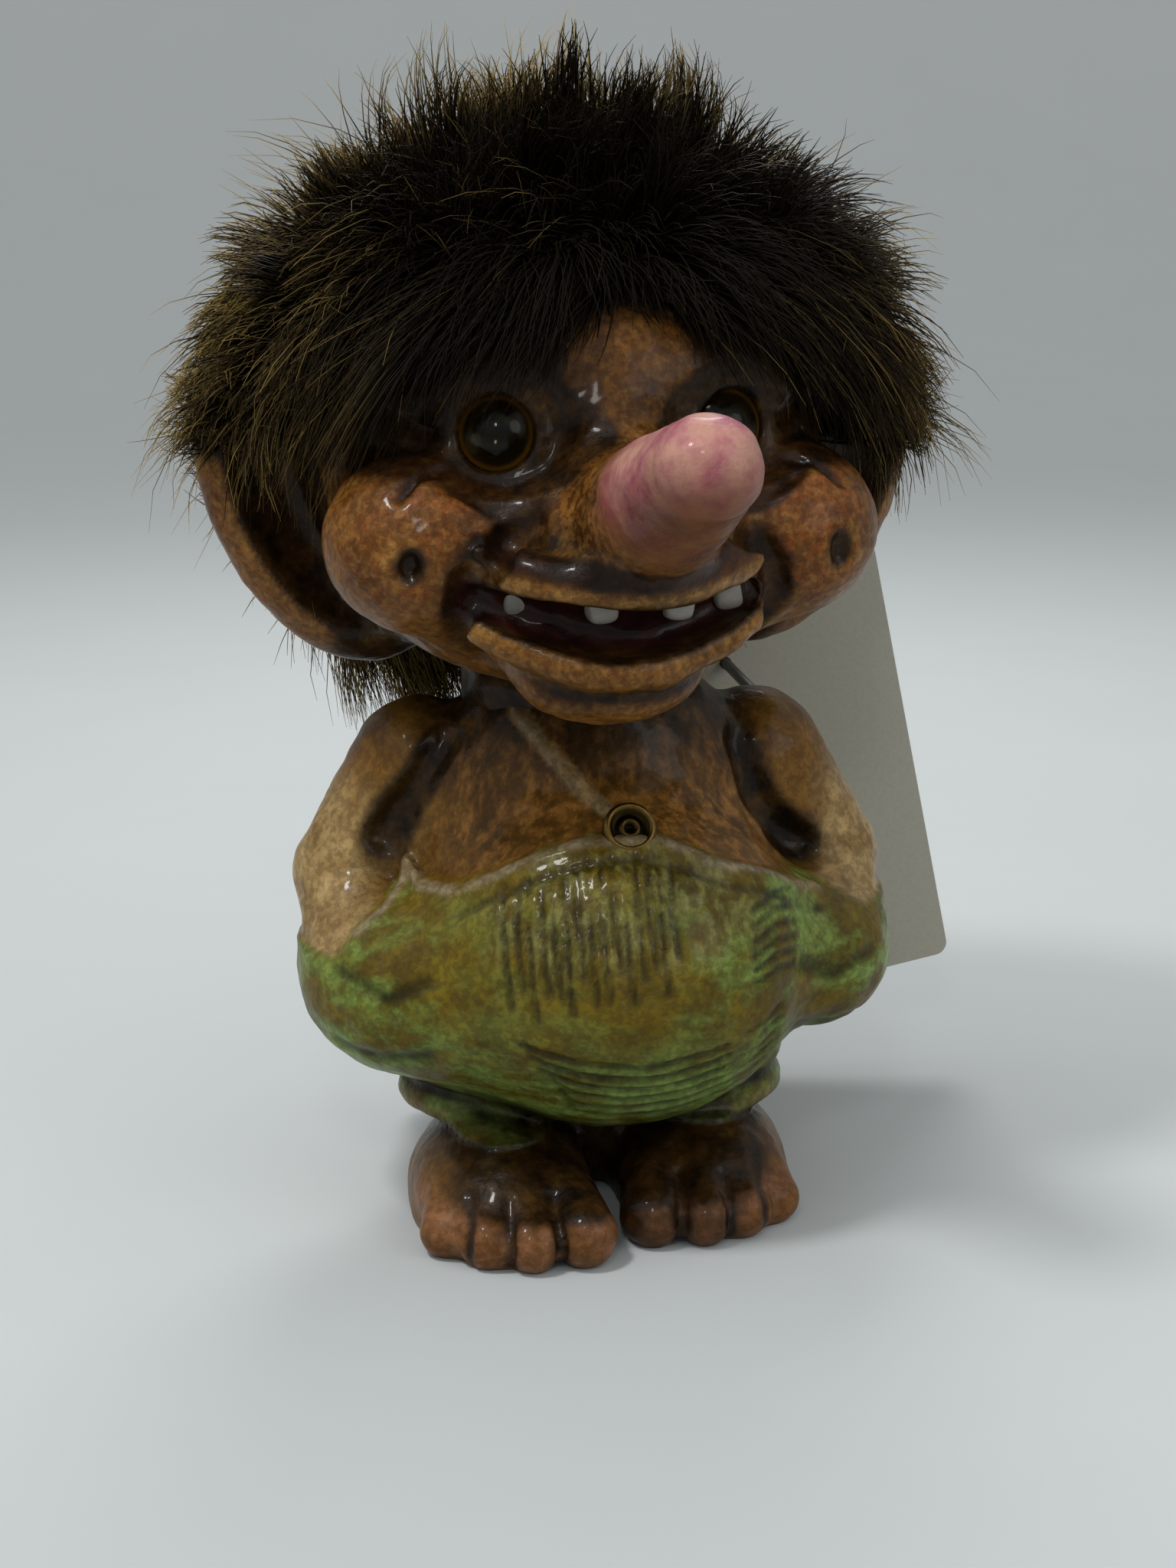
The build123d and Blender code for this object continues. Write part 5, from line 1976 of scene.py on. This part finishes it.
    def trimmed(self, roots: Array, tips: Array, rng: np.random.Generator) -> Array:
        """Shortens hairs that hang over the bare middle of the brow or into the way of the card.

        Args:
            roots: a row for each root.
            tips: a row for each tip.
            rng: the seeded source of chance.

        Returns:
            The tips after the trim.
        """
        brow = np.interp(np.abs(tips[:, 0] - self.parting), *np.array(self.fringe).T)
        nape = self.nape_lift - self.mane_drop * self.mane(roots)
        ragged = rng.normal(0.0, self.trim_ragged, len(roots))
        floor = brow + (nape - brow) * step_up(-6.0, 4.0, roots[:, 1]) + ragged
        fall = np.maximum(roots[:, 2] - tips[:, 2], 1e-6)
        keep = np.where(tips[:, 2] < floor, np.clip((roots[:, 2] - floor) / fall, 0.1, 1.0), 1.0)
        start, end = (spots[:, 1] + self.card_slant * spots[:, 0] for spots in (roots, tips))
        room = np.where(tips[:, 2] < self.card_top, self.card_front, 99.0)
        clear = np.clip((room - start) / np.maximum(end - start, 1e-6), 0.1, 1.0)
        keep = np.where(end > room, np.minimum(keep, clear), keep)
        return roots + (tips - roots) * keep[:, None]

    def combed(self, roots: Array, out: Array) -> Array:
        """Combs the hairs: upright on the crown, falling away from it all round and flat over the brow.

        Args:
            roots: a row for each root.
            out: the way out of the skin at each root.

        Returns:
            The ways, not of unit length.
        """
        away = roots - np.array(self.crown)
        aside = np.tanh((roots[:, 0] - self.parting) / self.parting_width)
        front = step_up(0.0, 18.0, -roots[:, 1])
        pull = (front * aside * self.parting_pull)[:, None]
        away = away * (1.0, 1.0, 0.0) + pull * (1.0, 0.0, 0.0)
        away = unit(away - (away * out).sum(axis=1, keepdims=True) * out)
        flat = step_down(0.3, 1.0, out[:, 2]) * 0.8
        flat = np.maximum(flat, front * step_down(0.82, 1.0, out[:, 2]))[:, None]
        stand = 0.42 - 0.3 * front[:, None]
        return (1.0 - flat) * out + flat * (away + stand * out)

    def to_outline(self, roots: Array, way: Array) -> Array:
        """Measures the room that hairs have.

        Args:
            roots: a row for each root.
            way: the way its hair grows.

        Returns:
            How far each root is from the pile's outline, along that way.
        """
        start = (roots - self.outline.center) / self.outline.radii
        slope = way / self.outline.radii
        a, b = (slope**2).sum(axis=1), (start * slope).sum(axis=1)
        c = (start**2).sum(axis=1) - 1.0
        return (-b + np.sqrt(np.maximum(b * b - a * c, 0.0))) / a

    def build(self, packed: Packed, place: Matrix) -> None:
        """Makes the pile, field by field, and then the single hairs that stand out of it.

        Args:
            packed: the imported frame.
            place: from the head's frame to the figure's.
        """
        pile = FUR.material()
        rng = np.random.default_rng(self.seed)
        for lock in self.fields:
            hairs = self.hairs(lock, rng)
            # Painted backlight on each field's tips
            mesh = strand_mesh(lock.name, hairs, self.thickness, rng, self.painted_backlight(hairs))
            packed.piece(lock.name, mesh, pile, ("fur_pile",), local=place)
        name, hairs = self.strays.name, self.hairs(self.strays, rng)
        # The single hairs get painted backlight everywhere, and painted glints
        painted_backlight = self.stray_backlight_floor + (1.0 - self.stray_backlight_floor) * self.painted_backlight(hairs)
        thin = self.stray_thickness * self.thickness
        mesh = strand_mesh(name, hairs, thin, rng, painted_backlight, self.stray_glint)
        packed.piece(name, mesh, pile, ("fur_pile",), local=place)

    def painted_backlight(self, hairs: Array) -> Array:
        """Painted backlight on the tips: hardly over the brow, more at the sides and towards the back."""
        x, y = np.abs(hairs[:, -1, 0] - self.parting), hairs[:, -1, 1]
        return 0.05 + 0.95 * np.maximum(step_up(-14.0, 8.0, y), 0.4 * step_up(20.0, 36.0, x))


# How much of its thickness a hair loses towards the tip, and how late it thins
HAIR_TAPER = (0.85, 1.5)
# The spread of lightness from hair to hair, as the two shape values of a beta distribution
HAIR_TONES = (1.5, 2.4)


def strand_mesh(
    name: str, hairs: Array, thickness: float, rng: np.random.Generator, light: Array, glint_lift: float = 0.0
) -> bpy.types.Mesh:
    """Makes hairs into thin tapering tubes.

    Args:
        name: the mesh's name.
        hairs: hairs by points by coordinates.
        thickness: a hair's half thickness at its root.
        rng: the seeded source of chance.
        light: how much painted backlight each hair gets, from 0 to 1.
        glint_lift: added to every hair's own lightness.

    Returns:
        The mesh, with the masks "tip" from root to tip and "shade" for each hair.
    """
    curve = bpy.data.curves.new(name, "CURVE")
    curve.dimensions, curve.bevel_depth, curve.bevel_resolution = "3D", thickness, 0
    count, points = hairs.shape[:2]
    loss, late = HAIR_TAPER
    taper = (1.0 - loss * np.linspace(0.0, 1.0, points) ** late).astype(np.float32)
    rows = np.concatenate((hairs, np.ones((count, points, 1))), axis=2).astype(np.float32)
    for row in rows:
        spline = curve.splines.new("POLY")
        spline.points.add(points - 1)
        spline.points.foreach_set("co", row.ravel())
        spline.points.foreach_set("radius", taper)
    holder = bpy.data.objects.new(name, curve)
    bpy.context.scene.collection.objects.link(holder)
    graph = bpy.context.evaluated_depsgraph_get()
    mesh = bpy.data.meshes.new_from_object(holder.evaluated_get(graph))
    bpy.data.objects.remove(holder)
    bpy.data.curves.remove(curve)
    sides = len(mesh.vertices) // (count * points)
    # Each hair's own tone, lifted for painted glints and scaled by its painted backlight
    shade = np.clip((rng.beta(*HAIR_TONES, count) + glint_lift) * light, 0.0, 1.0)
    paint(mesh, "tip", np.tile(np.repeat(np.linspace(0.0, 1.0, points), sides), count))
    paint(mesh, "shade", np.repeat(shade, points * sides))
    return mesh


@dataclass
class Tail:
    """The tail's tuft of fur; the tail itself keeps its CAD shape."""

    seed: int = 19
    end: Point = (-12.0, 22.5, 12.0)
    aim: Point = (-0.37, 0.0, -0.93)
    length: float = 9.5
    radius: float = 1.8
    gather: float = 1.1
    hairs: int = 1400
    points: int = 5
    root_span: Spot = (-2.2, 1.0)
    reach: Spot = (0.6, 1.05)
    swell: Spot = (0.2, 1.6)
    thickness: float = 0.13
    # Painted backlight on the tuft's tips
    painted_backlight: float = 0.6

    def build(self, packed: Packed, nodes: dict[str, bpy.types.Object]) -> None:
        """Makes the tuft and paints the tail.

        Args:
            packed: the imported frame.
            nodes: the CAD nodes by name.
        """
        rng = np.random.default_rng(self.seed)
        aim = unit(np.array(self.aim))
        spread = rng.normal(0.0, 1.0, (self.hairs, 3))
        spread = unit(spread - (spread @ aim)[:, None] * aim)
        back = rng.uniform(*self.root_span, self.hairs)[:, None]
        roots = np.array(self.end) + aim * back + spread * self.radius
        reach = (self.length * rng.uniform(*self.reach, self.hairs))[:, None]
        share = np.linspace(0.0, 1.0, self.points)[None, :, None]
        swell = spread * rng.uniform(*self.swell, self.hairs)[:, None]
        hairs = roots[:, None, :] + (aim * reach)[:, None, :] * share
        hairs = hairs + swell[:, None, :] * np.sin(share * math.pi * 0.9)
        hairs = hairs - (spread * self.gather)[:, None, :] * share**2
        tuft = strand_mesh("tuft", hairs, self.thickness, rng, np.full(self.hairs, self.painted_backlight))
        packed.piece("tuft_hairs", tuft, FUR.material(), ("tail_tuft",))
        dress(nodes["tail"].data, FLESH.material())
        LOG.info("tail: keeps its CAD shape")


@dataclass
class Tag:
    """The folded card on its pin, with its open end trimmed to the length in view."""

    tilt: float = 12.0
    trim: float = 3.5
    corner: float = 2.0

    def build(self, packed: Packed, node: bpy.types.Object) -> None:
        """Makes the card from the CAD one.

        Args:
            packed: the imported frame.
            node: the CAD card.
        """
        turn = math.radians(self.tilt)
        down = Vector((math.sin(turn), 0.0, -math.cos(turn)))
        shape = bmesh.new()
        shape.from_mesh(node.data)
        bmesh.ops.transform(shape, matrix=node.matrix_world, verts=shape.verts)
        end = max(vert.co @ down for vert in shape.verts) - self.corner * MM
        foot = [vert for vert in shape.verts if vert.co @ down > end]
        bmesh.ops.translate(shape, verts=foot, vec=-self.trim * MM * down)
        card, board = mesh_of(shape, "card"), TAG_BOARD.material()
        local = packed.matrix().inverted()
        made = packed.piece("folded_card", card, board, ("swing_tag",), "tag", local)
        made.data.shade_flat()


def main() -> None:
    """Builds the figure, piece by piece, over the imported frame."""
    logging.basicConfig(level=logging.INFO, format="%(name)s %(message)s")
    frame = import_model()
    packed = Packed.from_pin()
    head = Head()
    head.build(packed)
    Teeth().build(packed)
    Body().build(packed)
    Wig().build(packed, head.place)
    Tail().build(packed, frame["nodes"])
    Tag().build(packed, frame["nodes"]["swing_tag"])
    dress_cad(frame["nodes"])
    Studio().build(packed)


def dress_cad(nodes: dict[str, bpy.types.Object]) -> None:
    """Gives the CAD nodes that stay in view their finishes.

    Args:
        nodes: the CAD nodes by name.
    """
    for name, finish in (("wig_backing", BACKING_CLOTH), ("tag_pin", PIN_STEEL)):
        dress(nodes[name].data, finish.material())
        LOG.info("%s: keeps its CAD shape", name)


@dataclass(frozen=True)
class Lamp:
    """A round soft lamp: its place, its width and its power in watts."""

    name: str
    spot: Point
    size: float
    power: float


@dataclass
class Studio:
    """The camera at the photograph's angle, the pale floor and the soft light."""

    aim: Point = (-0.3, 0.0, 42.7)
    azimuth: float = -8.0
    elevation: float = 14.0
    distance: float = 266.0
    lens: float = 60.0
    sensor: float = 36.0
    sky: str = "e6e8ea"
    low_light: float = 0.56
    high_light: float = 1.05
    lamps_aim: Point = (0.0, 0.0, 50.0)
    lamps: tuple[Lamp, ...] = (
        Lamp("key", (-190.0, -140.0, 420.0), 70.0, 1.05),
        Lamp("fill", (260.0, -260.0, 200.0), 220.0, 0.22),
        Lamp("rim", (60.0, 300.0, 320.0), 160.0, 0.7),
        Lamp("glint", (-55.0, -277.0, 225.0), 40.0, 0.1),
    )
    floor_near: float = -2.0
    floor_far: float = 1.2
    floor_side: float = 3.0
    backdrop: float = 1.6
    sweep: float = 0.7

    def build(self, packed: Packed) -> None:
        """Makes the camera, the floor and the lights.

        Args:
            packed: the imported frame.
        """
        scene = bpy.context.scene
        scene.view_settings.view_transform = "Standard"
        turn, rise = math.radians(self.azimuth), math.radians(self.elevation)
        back = Vector((math.sin(turn) * math.cos(rise), -math.cos(turn) * math.cos(rise), math.sin(rise)))
        data = bpy.data.cameras.new("camera")
        data.lens, data.sensor_width = self.lens, self.sensor
        data.clip_start, data.clip_end = 0.01, 20.0
        camera = bpy.data.objects.new("camera", data)
        scene.collection.objects.link(camera)
        camera.location = packed.matrix() @ (Vector(self.aim) + self.distance * back)
        camera.rotation_euler = (-back).to_track_quat("-Z", "Y").to_euler()
        scene.camera = camera
        self.floor()
        self.lights(packed)

    def floor(self) -> None:
        """Lays the floor, in metres, and sweeps it up into a far backdrop."""
        shape = bmesh.new()
        side, far = self.floor_side, self.floor_far
        profile = ((self.floor_near, 0.0), (far, 0.0), (far, self.backdrop))
        line = [shape.verts.new((-side, y, z)) for y, z in profile]
        edges = [shape.edges.new(pair) for pair in pairwise(line)]
        sheet = bmesh.ops.extrude_edge_only(shape, edges=edges)["geom"]
        drawn = [vert for vert in sheet if isinstance(vert, bmesh.types.BMVert)]
        bmesh.ops.translate(shape, verts=drawn, vec=(2.0 * side, 0.0, 0.0))
        fold = [e for e in shape.edges if all(abs(v.co.y - far) + abs(v.co.z) < 1e-6 for v in e.verts)]
        bmesh.ops.bevel(
            shape, geom=fold, offset=self.sweep, affect="EDGES", segments=16, profile=0.5, material=-1
        )
        bmesh.ops.recalc_face_normals(shape, faces=shape.faces)
        mesh = mesh_of(shape, "floor")
        # Painted light: the paper is painted paler as it rises into the backdrop
        paint(mesh, "rise", step_up(0.0, 0.8, positions(mesh)[:, 2]))
        mesh.materials.append(FLOOR_PAPER.material())
        mesh.shade_smooth()
        floor = bpy.data.objects.new("floor", mesh)
        bpy.context.scene.collection.objects.link(floor)

    def lights(self, packed: Packed) -> None:
        """Hangs the soft lamps and the small one for the varnish, and sets the even light of the room.

        Args:
            packed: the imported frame.
        """
        world = bpy.data.worlds.new("room")
        world.use_nodes = True
        tree = world.node_tree
        way = add_node(tree, "ShaderNodeTexCoord").outputs["Generated"]
        height = add_node(tree, "ShaderNodeSeparateXYZ", {"Vector": way}).outputs["Z"]
        low, high = self.low_light, self.high_light
        level = add_node(
            tree,
            "ShaderNodeMapRange",
            {"Value": height, "From Min": 0.0, "From Max": 0.9, "To Min": low, "To Max": high},
        ).outputs["Result"]
        tree.nodes["Background"].inputs["Color"].default_value = linear(self.sky)
        tree.links.new(level, tree.nodes["Background"].inputs["Strength"])
        bpy.context.scene.world = world
        for lamp in self.lamps:
            light = bpy.data.lights.new(lamp.name, "AREA")
            light.shape, light.size, light.energy = "DISK", lamp.size * MM, lamp.power
            holder = bpy.data.objects.new(lamp.name, light)
            bpy.context.scene.collection.objects.link(holder)
            holder.location = packed.matrix() @ Vector(lamp.spot)
            aim = Vector(self.lamps_aim) - Vector(lamp.spot)
            holder.rotation_euler = aim.to_track_quat("-Z", "Y").to_euler()


if __name__ == "__main__":
    main()
